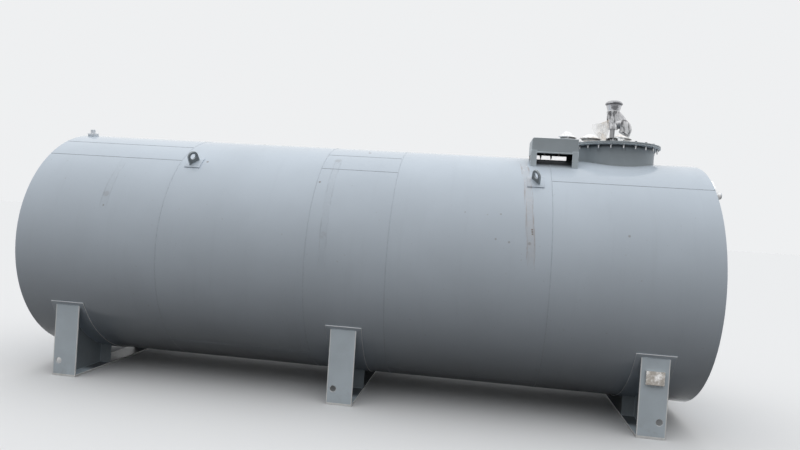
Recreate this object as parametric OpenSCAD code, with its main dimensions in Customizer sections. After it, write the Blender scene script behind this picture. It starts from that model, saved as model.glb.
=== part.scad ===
/* [Tank] */
// Outside diameter of the shell
tank_d = 2400; // [2300:10:2500]
// Thickness of the shell plate
shell_t = 6; // [5:1:10]
// Length of each of the four long shell courses
course_l = 1470; // [1420:10:1600]
// Length of the short course in the middle
mid_course_l = 770; // [700:10:1000]
// Thickness of the flat heads
head_t = 8; // [6:1:14]
// Depth of each head inside the end of the shell
head_inset = 12; // [6:1:30]
// Clear height between the ground and the shell
ground_gap = 135; // [115:5:180]

/* [Saddles] */
// Distance from the middle saddle to each outer one
saddle_pitch = 2835; // [2600:5:2950]
// Width of a saddle, measured along the tank
saddle_w = 250; // [220:5:300]
// Distance between the outer faces of the two end plates
saddle_span = 2080; // [1900:10:2120]
// Thickness of the base plate
base_t = 20; // [12:1:30]
// Thickness of the end plates
end_plate_t = 12; // [8:1:20]
// Thickness of the web plates
web_t = 10; // [6:1:16]
// Thickness of the inner stiffeners
stiffener_t = 10; // [6:1:16]
// Distance between the outer faces of the two stiffeners
stiffener_span = 900; // [700:10:1100]
// Width of the wear pad, measured along the tank
pad_w = 350; // [320:5:420]
// Thickness of the wear pad
pad_t = 8; // [6:1:12]
// Angle that the wear pad wraps
pad_angle = 122; // [121:1:130]
// Diameter of the hole in each end plate
eye_d = 60; // [40:1:80]
// Height of that hole over the ground
eye_z = 153; // [110:1:200]
// Distance of that hole from the middle of its end plate
eye_offset = 65; // [40:1:72]

/* [Lifting lugs] */
// Distance of each lug from the middle of the tank
lug_x = 1706; // [1560:2:1760]
// Height angle of the lugs, from the horizontal
lug_angle = 48.5; // [45:0.5:55]
// Turn of each lug from the tank's long axis towards the hook
lug_turn = 54; // [40:1:70]
// Width of a lug at its foot
lug_w = 118; // [116:2:150]
// Thickness of a lug
lug_t = 16; // [12:1:24]
// Height of the hole over the lug's foot
lug_hole_h = 70; // [60:1:80]
// Diameter of the hole in the lug
lug_hole_d = 55; // [40:1:60]
// Radius of the lug's round top
lug_top_r = 56; // [48:1:57]
// Width of the square doubler plate under a lug
doubler_w = 160; // [155:5:200]
// Thickness of the doubler plate
doubler_t = 8; // [5:1:12]

/* [Manhole] */
// Distance from the right end of the shell to the manhole
manhole_inset = 762; // [720:2:800]
// Outside diameter of the neck
neck_d = 780; // [740:5:800]
// Wall of the neck
neck_t = 8; // [6:1:12]
// Height of the neck's top over the top of the shell
neck_h = 150; // [120:5:200]
// Distance of the bolt circle outside the neck
bolt_offset = 31; // [29:1:34]
// Width of the flange and the cover outside the bolt circle
flange_edge = 29; // [22:1:32]
// Thickness of the flange
flange_t = 12; // [10:1:20]
// Thickness of the gasket
gasket_t = 3; // [2:0.5:5]
// Thickness of the cover
cover_t = 12; // [10:1:20]
// Number of bolts
bolt_count = 22; // [18:1:26]
// Diameter of the bolt holes
bolt_hole_d = 18; // [16:1:22]

/* [Nozzles] */
// Distance of the free standing nozzle from the manhole
nozzle_a_x = 492; // [485:1:500]
// Height of the free standing nozzle over the shell
nozzle_a_h = 249; // [235:1:280]
// Place of the left nozzle on the cover, from its middle
nozzle_b_x = -253; // [-280:1:-240]
// Place of the right nozzle on the cover, from its middle
nozzle_c_x = 96; // [80:1:130]
// Distance of the right nozzle behind the middle of the cover
nozzle_c_y = 120; // [110:1:150]
// Height of the left nozzle over the cover
nozzle_b_h = 66; // [62:1:90]
// Height of the right nozzle over the cover
nozzle_c_h = 104; // [90:1:120]
// Outside diameter of the nozzle pipes
pipe_d = 57; // [48:1:60]
// Wall of the nozzle pipes
pipe_t = 4; // [3:0.5:6]
// Diameter of the small flanges
small_flange_d = 140; // [130:2:144]
// Diameter of the left nozzle's flange
big_flange_d = 176; // [170:2:184]
// Thickness of a nozzle flange and of its blind plate
nozzle_flange_t = 13; // [10:1:14]
// Thickness of the film wraps
film_t = 3; // [2:0.5:4]
// Height of the film's crown over the free standing nozzle's blind plate
crown_a = 46; // [20:1:60]
// Height of the film's crown over the left nozzle's blind plate
crown_b = 36; // [20:1:60]
// Height of the film's crown over the right nozzle's blind plate
crown_c = 24; // [15:1:60]
// Width of the brim that the film makes round a flange
brim_w = 9; // [4:1:12]
// Length of the gathered film under a wrapped flange
wrap_skirt = 42; // [16:2:46]

/* [Breather] */
// Place of the breather on the cover, right of its middle
vent_x = -66; // [-80:1:-50]
// Distance of the breather in front of the cover's middle
vent_y = 150; // [140:1:180]
// Diameter of the riser
riser_d = 48; // [42:1:54]
// Wall of the riser and the breather body
vent_t = 3; // [2:0.5:4]
// Height of the breather body's foot over the cover
vent_body_h = 157; // [150:1:170]
// Diameter of the upright barrel
barrel_d = 110; // [104:1:116]
// Height of the barrel
barrel_h = 168; // [160:1:180]
// Diameter of the breather's bent pipe
elbow_d = 108; // [100:1:110]
// Radius of the bend
elbow_r = 62; // [58:1:72]
// Height of the bent pipe's middle over the foot of the body
elbow_z = 62; // [58:1:74]
// Angle of the bend
elbow_angle = 114; // [90:1:125]
// Length of the straight branch between the barrel and the bend
branch_reach = 15; // [10:1:30]
// Diameter of the cup on top of the breather
cup_d = 173; // [160:1:180]
// Height of the cup
cup_h = 93; // [80:1:100]
// Height of the dome over the cup's rim
dome_h = 38; // [24:1:48]
// Reach of the cup's collar past the barrel
collar_w = 5; // [3:1:8]
// Diameter of the black clamp
clamp_d = 126; // [116:1:134]
// Height of the black clamp
clamp_h = 46; // [40:1:56]
// Height of the socket under the clamp
socket_h = 16; // [12:1:24]
// Reach of the clamp past its socket
clamp_lap = 7; // [4:1:12]
// Radius of the loose film's foot on the cover
veil_r = 150; // [130:1:170]
// Angle that the loose film wraps
veil_angle = 75; // [50:1:110]
// Direction in which the loose film starts, from the tank's right end
veil_start = 150; // [140:1:165]

/* [Connection hood] */
// Distance from the hood's middle to the manhole
hood_x = 671; // [668:1:690]
// Width of the hood over its posts
hood_w = 458; // [440:2:474]
// Distance of the hood's front from the tank's top line
hood_front = 540; // [520:2:560]
// Depth of the hood from front to back
hood_depth = 360; // [340:2:380]
// Height of the hood's top over the top of the shell
hood_h = 159; // [150:1:180]
// Height of the cap's skirt
cap_h = 150; // [120:1:152]
// Chamfer along the cap's upper left edge
cap_chamfer = 14; // [6:1:20]
// Thickness of the cap and wall sheets
sheet_t = 4; // [3:0.5:6]
// Height of the folded lip along the cap's lower front edge
lip_h = 11; // [6:1:16]
// Leg width of the angle posts
post_w = 58; // [50:1:64]
// Thickness of the angle posts
post_t = 5; // [4:0.5:8]
// Height of the hood's top over the top of its posts
post_drop = 123; // [110:1:130]
// Diameter of the rail inside the hood
rail_d = 36; // [28:1:38]
// Length of the rail
rail_l = 288; // [260:2:300]
// Distance of the rail behind the hood's front
rail_back = 190; // [170:2:200]
// Distance of the rail's middle under the hood's top
rail_drop = 175; // [165:1:185]
// Place of the rail from the hood's middle
rail_x = -10; // [-20:1:20]
// Diameter of the two hangers that hold the rail
hanger_d = 14; // [10:1:20]

/* [Small fittings] */
// Width of the name plate
plate_w = 150; // [130:1:154]
// Height of the name plate
plate_h = 112; // [100:1:116]
// Thickness of the name plate
plate_t = 2; // [1.5:0.5:4]
// Width of the plate's holder
holder_w = 162; // [160:1:180]
// Height of the plate's holder
holder_h = 122; // [120:1:134]
// Distance of the holder's face from the end plate
holder_stand = 22; // [16:1:30]
// Distance of the holder's middle under the top of its end plate
holder_drop = 176; // [150:1:220]
// Thickness of the holder's sheet
holder_t = 3; // [2:0.5:5]
// Distance of the top boss from the left end of the shell
boss_inset = 86; // [80:1:180]
// Height angle of the top boss
boss_angle = 80; // [76:1:90]
// Diameter of the top boss
boss_d = 112; // [90:1:120]
// Height of the boss over the shell
boss_h = 30; // [20:1:36]
// Height of the hexagon plug in the boss
plug_h = 42; // [24:1:48]
// Diameter of the nipple on the right head
nipple_d = 57; // [40:1:62]
// Length of that nipple, past the head
nipple_l = 72; // [60:1:90]
// Height angle of that nipple
nipple_angle = 49.5; // [40:0.5:60]
// Gap between the nipple and the inside of the shell
nipple_gap = 22; // [12:1:40]

/* [Hidden] */
$fn = 96;
// Sides of the circles that are as large as the tank
TANK_SIDES = 360;

paint = [0.63, 0.66, 0.70];
paint_dark = [0.50, 0.53, 0.56];
film = [0.93, 0.94, 0.95];
stainless = [0.72, 0.72, 0.71];
rubber = [0.08, 0.08, 0.09];

// Gap left for the weld under each curved seat
seat = 0.3;
// Clearance between the manhole gasket and the bolt holes
gasket_clear = 3;
// Depth that a lug's outline reaches under its foot before it is cut to the curve
lug_sink = 12;
// Step of the film's rounded crown
CROWN_STEP = 15;
// Overshoot of the cutting solids
over = 1;

tank_r = tank_d / 2;
tank_l = 4 * course_l + mid_course_l;
end_x = tank_l / 2;
axis_h = ground_gap + tank_r;
shell_top = axis_h + tank_r;
pad_r = tank_r + seat + pad_t;
seams = [-end_x, -end_x + course_l, -mid_course_l / 2, mid_course_l / 2, end_x - course_l, end_x];

manhole_x = end_x - manhole_inset;
bolt_circle = neck_d + 2 * bolt_offset;
flange_d = bolt_circle + 2 * flange_edge;
neck_top = shell_top + neck_h;
cover_top = neck_top + flange_t + gasket_t + cover_t;
bore_d = pipe_d - 2 * pipe_t;
vent_place = [manhole_x + vent_x, -vent_y, cover_top];
socket_d = clamp_d - 2 * clamp_lap;
branch_l = barrel_d / 2 + branch_reach;

// Height at which the end plates meet the wear pad
plate_top = axis_h - sqrt(pow(pad_r, 2) - pow(saddle_span / 2, 2));
holder_mid = plate_top - holder_drop;

hood_left = manhole_x - hood_x - hood_w / 2;
hood_top = shell_top + hood_h;
cap_w = hood_w - 2 * post_t;
cap_front = -hood_front + post_t;
hood_back = -hood_front + hood_depth;

// Angles start at the bottom of the tank and grow towards the back
FRONT = -90;

// A solid bar on the tank's axis
module axis_bar(x0, x1, r) {
    translate([x0, 0, axis_h]) rotate([0, 90, 0]) cylinder(r = r, h = x1 - x0, $fn = TANK_SIDES);
}

// A bent plate around the tank's axis, sweep degrees wide about the angle mid
module bent_plate(x0, x1, r, t, mid, sweep) {
    translate([x0, 0, axis_h]) rotate([0, 90, 0]) rotate([0, 0, mid - sweep / 2])
        rotate_extrude(angle = sweep, $fn = TANK_SIDES) translate([r, 0]) square([t, x1 - x0]);
}

// Stands its children on the shell at the height angle a, with their Z pointing out of it
module on_shell(x, a) {
    translate([x, 0, axis_h]) rotate([90 - a, 0, 0]) children();
}

// A tube along Z from z0 to z1
module tube(d, wall, z0, z1) {
    translate([0, 0, z0]) difference() {
        cylinder(d = d, h = z1 - z0);
        translate([0, 0, -over]) cylinder(d = d - 2 * wall, h = z1 - z0 + 2 * over);
    }
}

// Heads and shell
module head(side) {
    x = side * (end_x - head_inset - head_t / 2);
    color(paint) axis_bar(x - head_t / 2, x + head_t / 2, tank_r - shell_t - seat);
}

module course_ring(i) {
    difference() {
        axis_bar(seams[i], seams[i + 1], tank_r);
        axis_bar(seams[i] - over, seams[i + 1] + over, tank_r - shell_t);
    }
}

module shell_course(i) {
    color(paint) course_ring(i);
}

module shell_course_5() {
    color(paint) difference() {
        course_ring(4);
        translate([manhole_x, 0, axis_h]) cylinder(d = neck_d - 2 * neck_t, h = tank_r + over);
        translate([manhole_x - nozzle_a_x, 0, axis_h]) cylinder(d = bore_d, h = tank_r + over);
    }
}

// Saddles
module under_pad(x) {
    difference() {
        children();
        axis_bar(x - saddle_w, x + saddle_w, pad_r + seat);
    }
}

module wear_pad(x) {
    color(paint) bent_plate(x - pad_w / 2, x + pad_w / 2, tank_r + seat, pad_t, 0, pad_angle);
}

module base_plate(x) {
    color(paint_dark) translate([x - saddle_w / 2, -saddle_span / 2, 0])
        cube([saddle_w, saddle_span, base_t]);
}

module end_plate(x, eye) {
    under_pad(x) translate([x, -saddle_span / 2, 0]) difference() {
        translate([-saddle_w / 2, 0, base_t]) cube([saddle_w, end_plate_t, axis_h - base_t]);
        translate([eye, -over, eye_z]) rotate([-90, 0, 0]) cylinder(d = eye_d, h = end_plate_t + 2 * over);
    }
}

module end_plates(x, eye) {
    color(paint_dark) {
        end_plate(x, eye);
        mirror([0, 1, 0]) end_plate(x, eye);
    }
}

module web(x) {
    web_l = saddle_span / 2 - end_plate_t - stiffener_span / 2;
    under_pad(x) translate([x - web_t / 2, -stiffener_span / 2 - web_l, base_t])
        cube([web_t, web_l, axis_h - base_t]);
}

module webs(x) {
    color(paint_dark) {
        web(x);
        mirror([0, 1, 0]) web(x);
    }
}

module stiffener(x) {
    under_pad(x) translate([x - saddle_w / 2, -stiffener_span / 2, base_t])
        cube([saddle_w, stiffener_t, axis_h - base_t]);
}

module stiffeners(x) {
    color(paint_dark) {
        stiffener(x);
        mirror([0, 1, 0]) stiffener(x);
    }
}

// Lifting lugs, two on the front and two on the back
module at_lugs() {
    for (back = [0, 1], side = [-1, 1])
        mirror([0, back, 0]) mirror([side > 0 ? 1 : 0, 0, 0]) children();
}

module doubler() {
    sweep = doubler_w / tank_r * 180 / PI;
    x0 = -lug_x - doubler_w / 2;
    bent_plate(x0, x0 + doubler_w, tank_r + seat, doubler_t, FRONT - lug_angle, sweep);
}

module lug_doublers() {
    color(paint) at_lugs() doubler();
}

module lug_outline() {
    shoulder = lug_hole_h / 4;
    difference() {
        union() {
            polygon([
                [-lug_w / 2, 0], [lug_w / 2, 0], [lug_w / 2, shoulder],
                [lug_top_r, lug_hole_h], [-lug_top_r, lug_hole_h], [-lug_w / 2, shoulder]
            ]);
            translate([0, lug_hole_h]) circle(r = lug_top_r);
        }
        translate([0, lug_hole_h]) circle(d = lug_hole_d);
    }
}

module lug() {
    foot = tank_r + 2 * seat + doubler_t;
    difference() {
        on_shell(-lug_x, lug_angle) translate([0, 0, foot]) rotate([0, 0, lug_turn])
            translate([0, lug_t / 2, 0]) rotate([90, 0, 0]) linear_extrude(lug_t) {
                lug_outline();
                translate([-lug_w / 2, -lug_sink]) square([lug_w, lug_sink]);
            }
        axis_bar(-lug_x - lug_w, -lug_x + lug_w, foot);
    }
}

module lifting_lugs() {
    color(paint) at_lugs() lug();
}

// Manhole
module at_manhole() {
    translate([manhole_x, 0, 0]) children();
}

module bolt_holes(z0, z1) {
    for (i = [0 : bolt_count - 1])
        rotate([0, 0, (i + 0.5) * 360 / bolt_count]) translate([bolt_circle / 2, 0, z0 - over])
            cylinder(d = bolt_hole_d, h = z1 - z0 + 2 * over);
}

module manhole_neck() {
    color(paint_dark) difference() {
        at_manhole() tube(neck_d, neck_t, axis_h + tank_r / 2, neck_top);
        axis_bar(manhole_x - neck_d, manhole_x + neck_d, tank_r + seat);
    }
}

module manhole_flange() {
    color(paint_dark) at_manhole() difference() {
        tube(flange_d, (flange_d - neck_d) / 2 + neck_t, neck_top, neck_top + flange_t);
        bolt_holes(neck_top, neck_top + flange_t);
    }
}

module manhole_gasket() {
    d = bolt_circle - bolt_hole_d - 2 * gasket_clear;
    z = neck_top + flange_t;
    color(rubber) at_manhole() tube(d, (d - neck_d) / 2 + neck_t, z, z + gasket_t);
}

module manhole_cover() {
    z = cover_top - cover_t;
    color(paint_dark) at_manhole() difference() {
        translate([0, 0, z]) cylinder(d = flange_d, h = cover_t);
        bolt_holes(z, cover_top);
        translate([nozzle_b_x, 0, z - over]) cylinder(d = bore_d, h = cover_t + 2 * over);
        translate([nozzle_c_x, nozzle_c_y, z - over]) cylinder(d = bore_d, h = cover_t + 2 * over);
        translate([vent_x, -vent_y, z - over]) cylinder(d = riser_d - 2 * vent_t, h = cover_t + 2 * over);
    }
}

// Flanged nozzles with blind plates
module nozzle(z0, z1, d) {
    tube(pipe_d, pipe_t, z0, z1);
    tube(d, (d - bore_d) / 2, z1 - nozzle_flange_t, z1);
}

module at_nozzle_a() {
    translate([manhole_x - nozzle_a_x, 0, shell_top]) children();
}

module at_nozzle_b() {
    translate([manhole_x + nozzle_b_x, 0, cover_top]) children();
}

module at_nozzle_c() {
    translate([manhole_x + nozzle_c_x, nozzle_c_y, cover_top]) children();
}

module nozzle_a() {
    color(paint) difference() {
        at_nozzle_a() nozzle(-pipe_d, nozzle_a_h, small_flange_d);
        axis_bar(seams[4], seams[5], tank_r + seat);
    }
}

module nozzle_b() {
    color(paint) at_nozzle_b() nozzle(0, nozzle_b_h, big_flange_d);
}

module nozzle_c() {
    color(paint) at_nozzle_c() nozzle(0, nozzle_c_h, small_flange_d);
}

module nozzle_blinds() {
    color(paint) {
        at_nozzle_a() translate([0, 0, nozzle_a_h]) cylinder(d = small_flange_d, h = nozzle_flange_t);
        at_nozzle_b() translate([0, 0, nozzle_b_h]) cylinder(d = big_flange_d, h = nozzle_flange_t);
        at_nozzle_c() translate([0, 0, nozzle_c_h]) cylinder(d = small_flange_d, h = nozzle_flange_t);
    }
}

// Half section of a film cap over a flange pair whose joint is at height 0
module cap_section(d, crown) {
    rim = d / 2 + seat;
    half = nozzle_flange_t + seat;
    hem = pipe_d / 2 + seat;
    foot = -half - wrap_skirt;
    steps = [0 : CROWN_STEP : 90];
    difference() {
        polygon(concat(
            [[0, foot], [hem + film_t, foot], [rim + film_t, -half - film_t], [rim + film_t + brim_w, 0]],
            [for (a = steps) [(rim + film_t) * cos(a), half + crown * sin(a)]]
        ));
        polygon(concat(
            [[0, foot - over], [hem, foot - over], [hem, foot], [rim, -half - film_t / 2]],
            [for (a = steps) [rim * cos(a), half + (crown - film_t) * sin(a)]]
        ));
    }
}

module nozzle_wrap(z, d, crown) {
    color(film) translate([0, 0, z]) rotate_extrude() cap_section(d, crown);
}

module nozzle_wrap_a() {
    at_nozzle_a() nozzle_wrap(nozzle_a_h, small_flange_d, crown_a);
}

module nozzle_wrap_b() {
    at_nozzle_b() nozzle_wrap(nozzle_b_h, big_flange_d, crown_b);
}

module nozzle_wrap_c() {
    at_nozzle_c() nozzle_wrap(nozzle_c_h, small_flange_d, crown_c);
}

// Breather on the cover
module breather_riser() {
    color(stainless) translate(vent_place) {
        tube(riser_d, vent_t, 0, vent_body_h);
        tube(socket_d, (socket_d - riser_d) / 2 + vent_t, 0, socket_h);
    }
}

module breather_clamp() {
    color(rubber) translate(vent_place)
        tube(clamp_d, (clamp_d - riser_d) / 2 - seat, socket_h, socket_h + clamp_h);
}

module at_vent_body() {
    translate(vent_place) translate([0, 0, vent_body_h]) children();
}

module breather_body() {
    color(stainless) at_vent_body() difference() {
        union() {
            cylinder(d = barrel_d, h = barrel_h);
            translate([0, 0, elbow_z]) rotate([0, 90, 0]) cylinder(d = elbow_d, h = branch_l);
        }
        translate([0, 0, vent_t]) cylinder(d = barrel_d - 2 * vent_t, h = barrel_h - 2 * vent_t);
        translate([0, 0, -over]) cylinder(d = riser_d - 2 * vent_t, h = vent_t + 2 * over);
        translate([0, 0, elbow_z]) rotate([0, 90, 0]) cylinder(d = elbow_d - 2 * vent_t, h = branch_l + over);
    }
}

// The bent pipe goes on from the body's branch and turns down
module breather_elbow() {
    color(stainless) at_vent_body() translate([branch_l, 0, elbow_z - elbow_r])
        rotate([90, 0, 0]) rotate([0, 0, 90 - elbow_angle])
            rotate_extrude(angle = elbow_angle) translate([elbow_r, 0]) difference() {
                circle(d = elbow_d);
                circle(d = elbow_d - 2 * vent_t);
            }
}

// A collar, a funnel that widens to the rim, and a dome
module breather_cup() {
    collar_r = barrel_d / 2 + collar_w;
    collar_h = cup_h / 5;
    rim_r = cup_d / 2;
    rim_h = cup_h / 15;
    funnel = (rim_r - collar_r) / 3;
    color(stainless) at_vent_body() translate([0, 0, barrel_h]) rotate_extrude() polygon(concat(
        [[0, 0], [collar_r, 0], [collar_r, collar_h], [collar_r + funnel, cup_h / 2]],
        [[rim_r - funnel, cup_h - 2 * rim_h], [rim_r, cup_h - rim_h]],
        [for (a = [0 : CROWN_STEP : 90]) [rim_r * cos(a), cup_h + dome_h * sin(a)]]
    ));
}

// Loose film that hangs from the body over the left side of the riser
module breather_wrap() {
    head_r = barrel_d / 2 + seat;
    head_z = vent_body_h + barrel_h / 2;
    color(film) translate(vent_place) rotate([0, 0, veil_start]) rotate_extrude(angle = veil_angle) polygon([
        [veil_r, seat], [veil_r + film_t, seat], [head_r + film_t, head_z], [head_r, head_z]
    ]);
}

// Connection hood
module hood_profile(w, h, c) {
    polygon([[-w / 2, 0], [-w / 2, h - c], [-w / 2 + c, h], [w / 2, h], [w / 2, 0]]);
}

module hood_block(w, h, c, y0, y1) {
    translate([hood_left + hood_w / 2, y1, 0]) rotate([90, 0, 0])
        linear_extrude(y1 - y0) hood_profile(w, h, c);
}

module hood_cap() {
    lip_w = hood_w - 2 * post_w - 2 * seat;
    color(paint_dark) translate([0, 0, hood_top - cap_h]) {
        difference() {
            hood_block(cap_w, cap_h, cap_chamfer, cap_front, hood_back);
            translate([0, 0, -over]) hood_block(
                cap_w - 2 * sheet_t, cap_h - sheet_t + over, cap_chamfer, cap_front + sheet_t, hood_back - sheet_t
            );
        }
        translate([hood_left + post_w + seat, cap_front - post_t, 0]) cube([lip_w, post_t, lip_h]);
    }
}

module over_shell() {
    difference() {
        children();
        axis_bar(hood_left - hood_w, hood_left + 2 * hood_w, tank_r + seat);
    }
}

module hood_post() {
    h = hood_top - post_drop - axis_h;
    translate([hood_left, -hood_front, axis_h]) {
        cube([post_w, post_t, h]);
        cube([post_t, post_w, h]);
    }
}

module hood_posts() {
    mid = hood_left + hood_w / 2;
    color(paint) over_shell() {
        hood_post();
        translate([mid, 0, 0]) mirror([1, 0, 0]) translate([-mid, 0, 0]) hood_post();
    }
}

module hood_walls() {
    w = cap_w - 2 * sheet_t - 2 * seat;
    x = hood_left + hood_w / 2 - w / 2;
    y = cap_front + post_w;
    l = hood_back - sheet_t - seat - y;
    h = hood_top - sheet_t - cap_chamfer - axis_h;
    color(paint_dark) over_shell() difference() {
        translate([x, y, axis_h]) cube([w, l, h]);
        translate([x + sheet_t, y - over, axis_h - over])
            cube([w - 2 * sheet_t, l - sheet_t + over, h + 2 * over]);
    }
}

module hood_rail() {
    z = hood_top - rail_drop;
    y = -hood_front + rail_back;
    color(film) translate([hood_left + hood_w / 2 + rail_x, y, z]) {
        translate([-rail_l / 2, 0, 0]) rotate([0, 90, 0]) cylinder(d = rail_d, h = rail_l);
        for (side = [-1, 1])
            translate([side * rail_l / 4, 0, 0]) cylinder(d = hanger_d, h = rail_drop - sheet_t);
    }
}

// Name plate and its holder on the right saddle
module plate_holder() {
    y = -saddle_span / 2 - holder_stand;
    color(stainless) translate([saddle_pitch - holder_w / 2, y, holder_mid - holder_h / 2]) {
        cube([holder_w, holder_t, holder_h]);
        cube([holder_w, holder_stand, holder_t]);
        translate([0, 0, holder_h - holder_t]) cube([holder_w, holder_stand, holder_t]);
    }
}

module name_plate() {
    color(stainless) translate([
        saddle_pitch - plate_w / 2, -saddle_span / 2 - holder_stand - plate_t, holder_mid - plate_h / 2
    ]) cube([plate_w, plate_t, plate_h]);
}

// A threaded boss with its plug near the left end
module top_boss() {
    root = boss_d / 4;
    color(paint) difference() {
        on_shell(-end_x + boss_inset, boss_angle) {
            translate([0, 0, tank_r - root]) cylinder(d = boss_d, h = root + boss_h);
            translate([0, 0, tank_r + boss_h]) cylinder(d = boss_d / 2, h = plug_h, $fn = 6);
        }
        axis_bar(-end_x, -end_x + boss_inset + boss_d, tank_r + seat);
    }
}

// A nipple on the right head, wrapped in film
module at_nipple() {
    r = tank_r - shell_t - nipple_gap - nipple_d / 2;
    translate([end_x - head_inset, 0, axis_h]) rotate([-nipple_angle, 0, 0]) translate([0, -r, 0])
        rotate([0, 90, 0]) children();
}

module end_nipple() {
    color(paint) at_nipple() tube(nipple_d, pipe_t, 0, nipple_l);
}

module end_nipple_wrap() {
    r = nipple_d / 2 + seat;
    z0 = head_inset + seat;
    z1 = nipple_l + seat;
    color(film) at_nipple() rotate_extrude() polygon([
        [r, z0], [r + film_t, z0], [r + film_t, z1], [r - 2 * film_t, z1 + film_t],
        [0, z1 + film_t], [0, z1], [r, z1]
    ]);
}

head(-1);  // head_left
head(1);  // head_right
shell_course(0);  // shell_course_1
shell_course(1);  // shell_course_2
shell_course(2);  // shell_course_3
shell_course(3);  // shell_course_4
shell_course_5();
wear_pad(-saddle_pitch);  // wear_pad_left
wear_pad(0);  // wear_pad_middle
wear_pad(saddle_pitch);  // wear_pad_right
base_plate(-saddle_pitch);  // base_plate_left
base_plate(0);  // base_plate_middle
base_plate(saddle_pitch);  // base_plate_right
end_plates(-saddle_pitch, -eye_offset);  // end_plates_left
end_plates(0, -eye_offset);  // end_plates_middle
end_plates(saddle_pitch, eye_offset);  // end_plates_right
webs(-saddle_pitch);  // webs_left
webs(0);  // webs_middle
webs(saddle_pitch);  // webs_right
stiffeners(-saddle_pitch);  // stiffeners_left
stiffeners(0);  // stiffeners_middle
stiffeners(saddle_pitch);  // stiffeners_right
lug_doublers();
lifting_lugs();
manhole_neck();
manhole_flange();
manhole_gasket();
manhole_cover();
nozzle_a();
nozzle_b();
nozzle_c();
nozzle_blinds();
nozzle_wrap_a();
nozzle_wrap_b();
nozzle_wrap_c();
breather_riser();
breather_clamp();
breather_body();
breather_elbow();
breather_cup();
breather_wrap();
hood_cap();
hood_posts();
hood_walls();
hood_rail();
plate_holder();
name_plate();
top_boss();
end_nipple();
end_nipple_wrap();
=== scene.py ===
"""Dresses the packed storage tank: enamel, weld beads, bolts, packing film, breather and name plate."""

import math

import bmesh
import bpy
from mathutils import Matrix, Vector, noise


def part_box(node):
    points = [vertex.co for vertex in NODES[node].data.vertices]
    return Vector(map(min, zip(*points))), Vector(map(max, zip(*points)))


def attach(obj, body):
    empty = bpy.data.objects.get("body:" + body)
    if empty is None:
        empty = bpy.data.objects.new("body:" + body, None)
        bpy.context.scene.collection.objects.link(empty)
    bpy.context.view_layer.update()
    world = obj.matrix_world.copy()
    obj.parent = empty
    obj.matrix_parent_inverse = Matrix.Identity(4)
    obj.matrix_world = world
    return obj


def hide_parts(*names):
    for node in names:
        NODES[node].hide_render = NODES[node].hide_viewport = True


bl_info = {
    "name": "Storage tank dressing",
    "version": (1, 0, 0),
    "blender": (4, 5, 0),
    "location": "View3D > Sidebar > Storage tank",
    "description": "Adds enamel, weld beads, bolts and packing film to a packed storage tank",
    "category": "Object",
}

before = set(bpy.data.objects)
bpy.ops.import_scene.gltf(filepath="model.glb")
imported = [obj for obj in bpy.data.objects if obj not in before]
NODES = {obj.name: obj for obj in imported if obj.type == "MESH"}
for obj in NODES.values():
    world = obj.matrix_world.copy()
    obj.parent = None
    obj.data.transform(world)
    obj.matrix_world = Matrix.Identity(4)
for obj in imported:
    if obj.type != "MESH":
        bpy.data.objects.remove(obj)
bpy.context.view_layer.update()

# Sizes read from the packed model, in metres
SIDES = ("left", "middle", "right")
COURSE_NAMES = [f"shell_course_{i}" for i in range(1, 6)]
COURSES = [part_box(name) for name in COURSE_NAMES]
TANK_R = COURSES[0][1].y
AXIS_Z = (COURSES[0][0].z + COURSES[0][1].z) / 2
SEAMS = [course[1].x for course in COURSES[:-1]]
END_X = COURSES[-1][1].x
HEAD_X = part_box("head_right")[1].x
SHELL_T = TANK_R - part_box("head_right")[1].y

FLANGE_LOW, FLANGE_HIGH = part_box("manhole_flange")
NECK_LOW, NECK_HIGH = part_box("manhole_neck")
MANHOLE_X = (FLANGE_LOW.x + FLANGE_HIGH.x) / 2
NECK_R = (NECK_HIGH.x - NECK_LOW.x) / 2
COVER_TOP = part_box("manhole_cover")[1].z


def middle(node):
    """Middle of a CAD node's box."""
    low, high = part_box(node)
    return (low + high) / 2


def on_tank(x, angle, r=None):
    """Point on the tank at a height angle in degrees, 0 at the front and 90 at the top."""
    r = TANK_R if r is None else r
    a = math.radians(angle)
    return Vector((x, -r * math.cos(a), AXIS_Z + r * math.sin(a)))


def tank_normal(angle):
    """Way out of the tank at a height angle in degrees."""
    a = math.radians(angle)
    return Vector((0, -math.cos(a), math.sin(a)))


# Settings


class TankPaintSettings(bpy.types.PropertyGroup):
    """Enamel of the shell and of the frames."""

    shell_color: bpy.props.FloatVectorProperty(
        name="Shell colour", description="Enamel on the shell",
        subtype="COLOR", size=3, min=0, max=1, default=(0.575, 0.648, 0.728))
    frame_color: bpy.props.FloatVectorProperty(
        name="Frame colour", description="Enamel on the lugs, the manhole and the hood",
        subtype="COLOR", size=3, min=0, max=1, default=(0.44, 0.49, 0.52))
    saddle_color: bpy.props.FloatVectorProperty(
        name="Saddle colour", description="Enamel on the faces of the saddles",
        subtype="COLOR", size=3, min=0, max=1, default=(0.66, 0.745, 0.81))
    shell_roughness: bpy.props.FloatProperty(
        name="Shell roughness", description="Roughness of the shell's enamel",
        subtype="FACTOR", min=0, max=1, default=0.10)
    frame_roughness: bpy.props.FloatProperty(
        name="Frame roughness", description="Roughness of the frames' enamel",
        subtype="FACTOR", min=0, max=1, default=0.38)
    edge_round: bpy.props.FloatProperty(
        name="Edge round", description="Round of the saddles' cut edges under the paint",
        unit="LENGTH", min=0, max=0.01, default=0.003)


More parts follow.
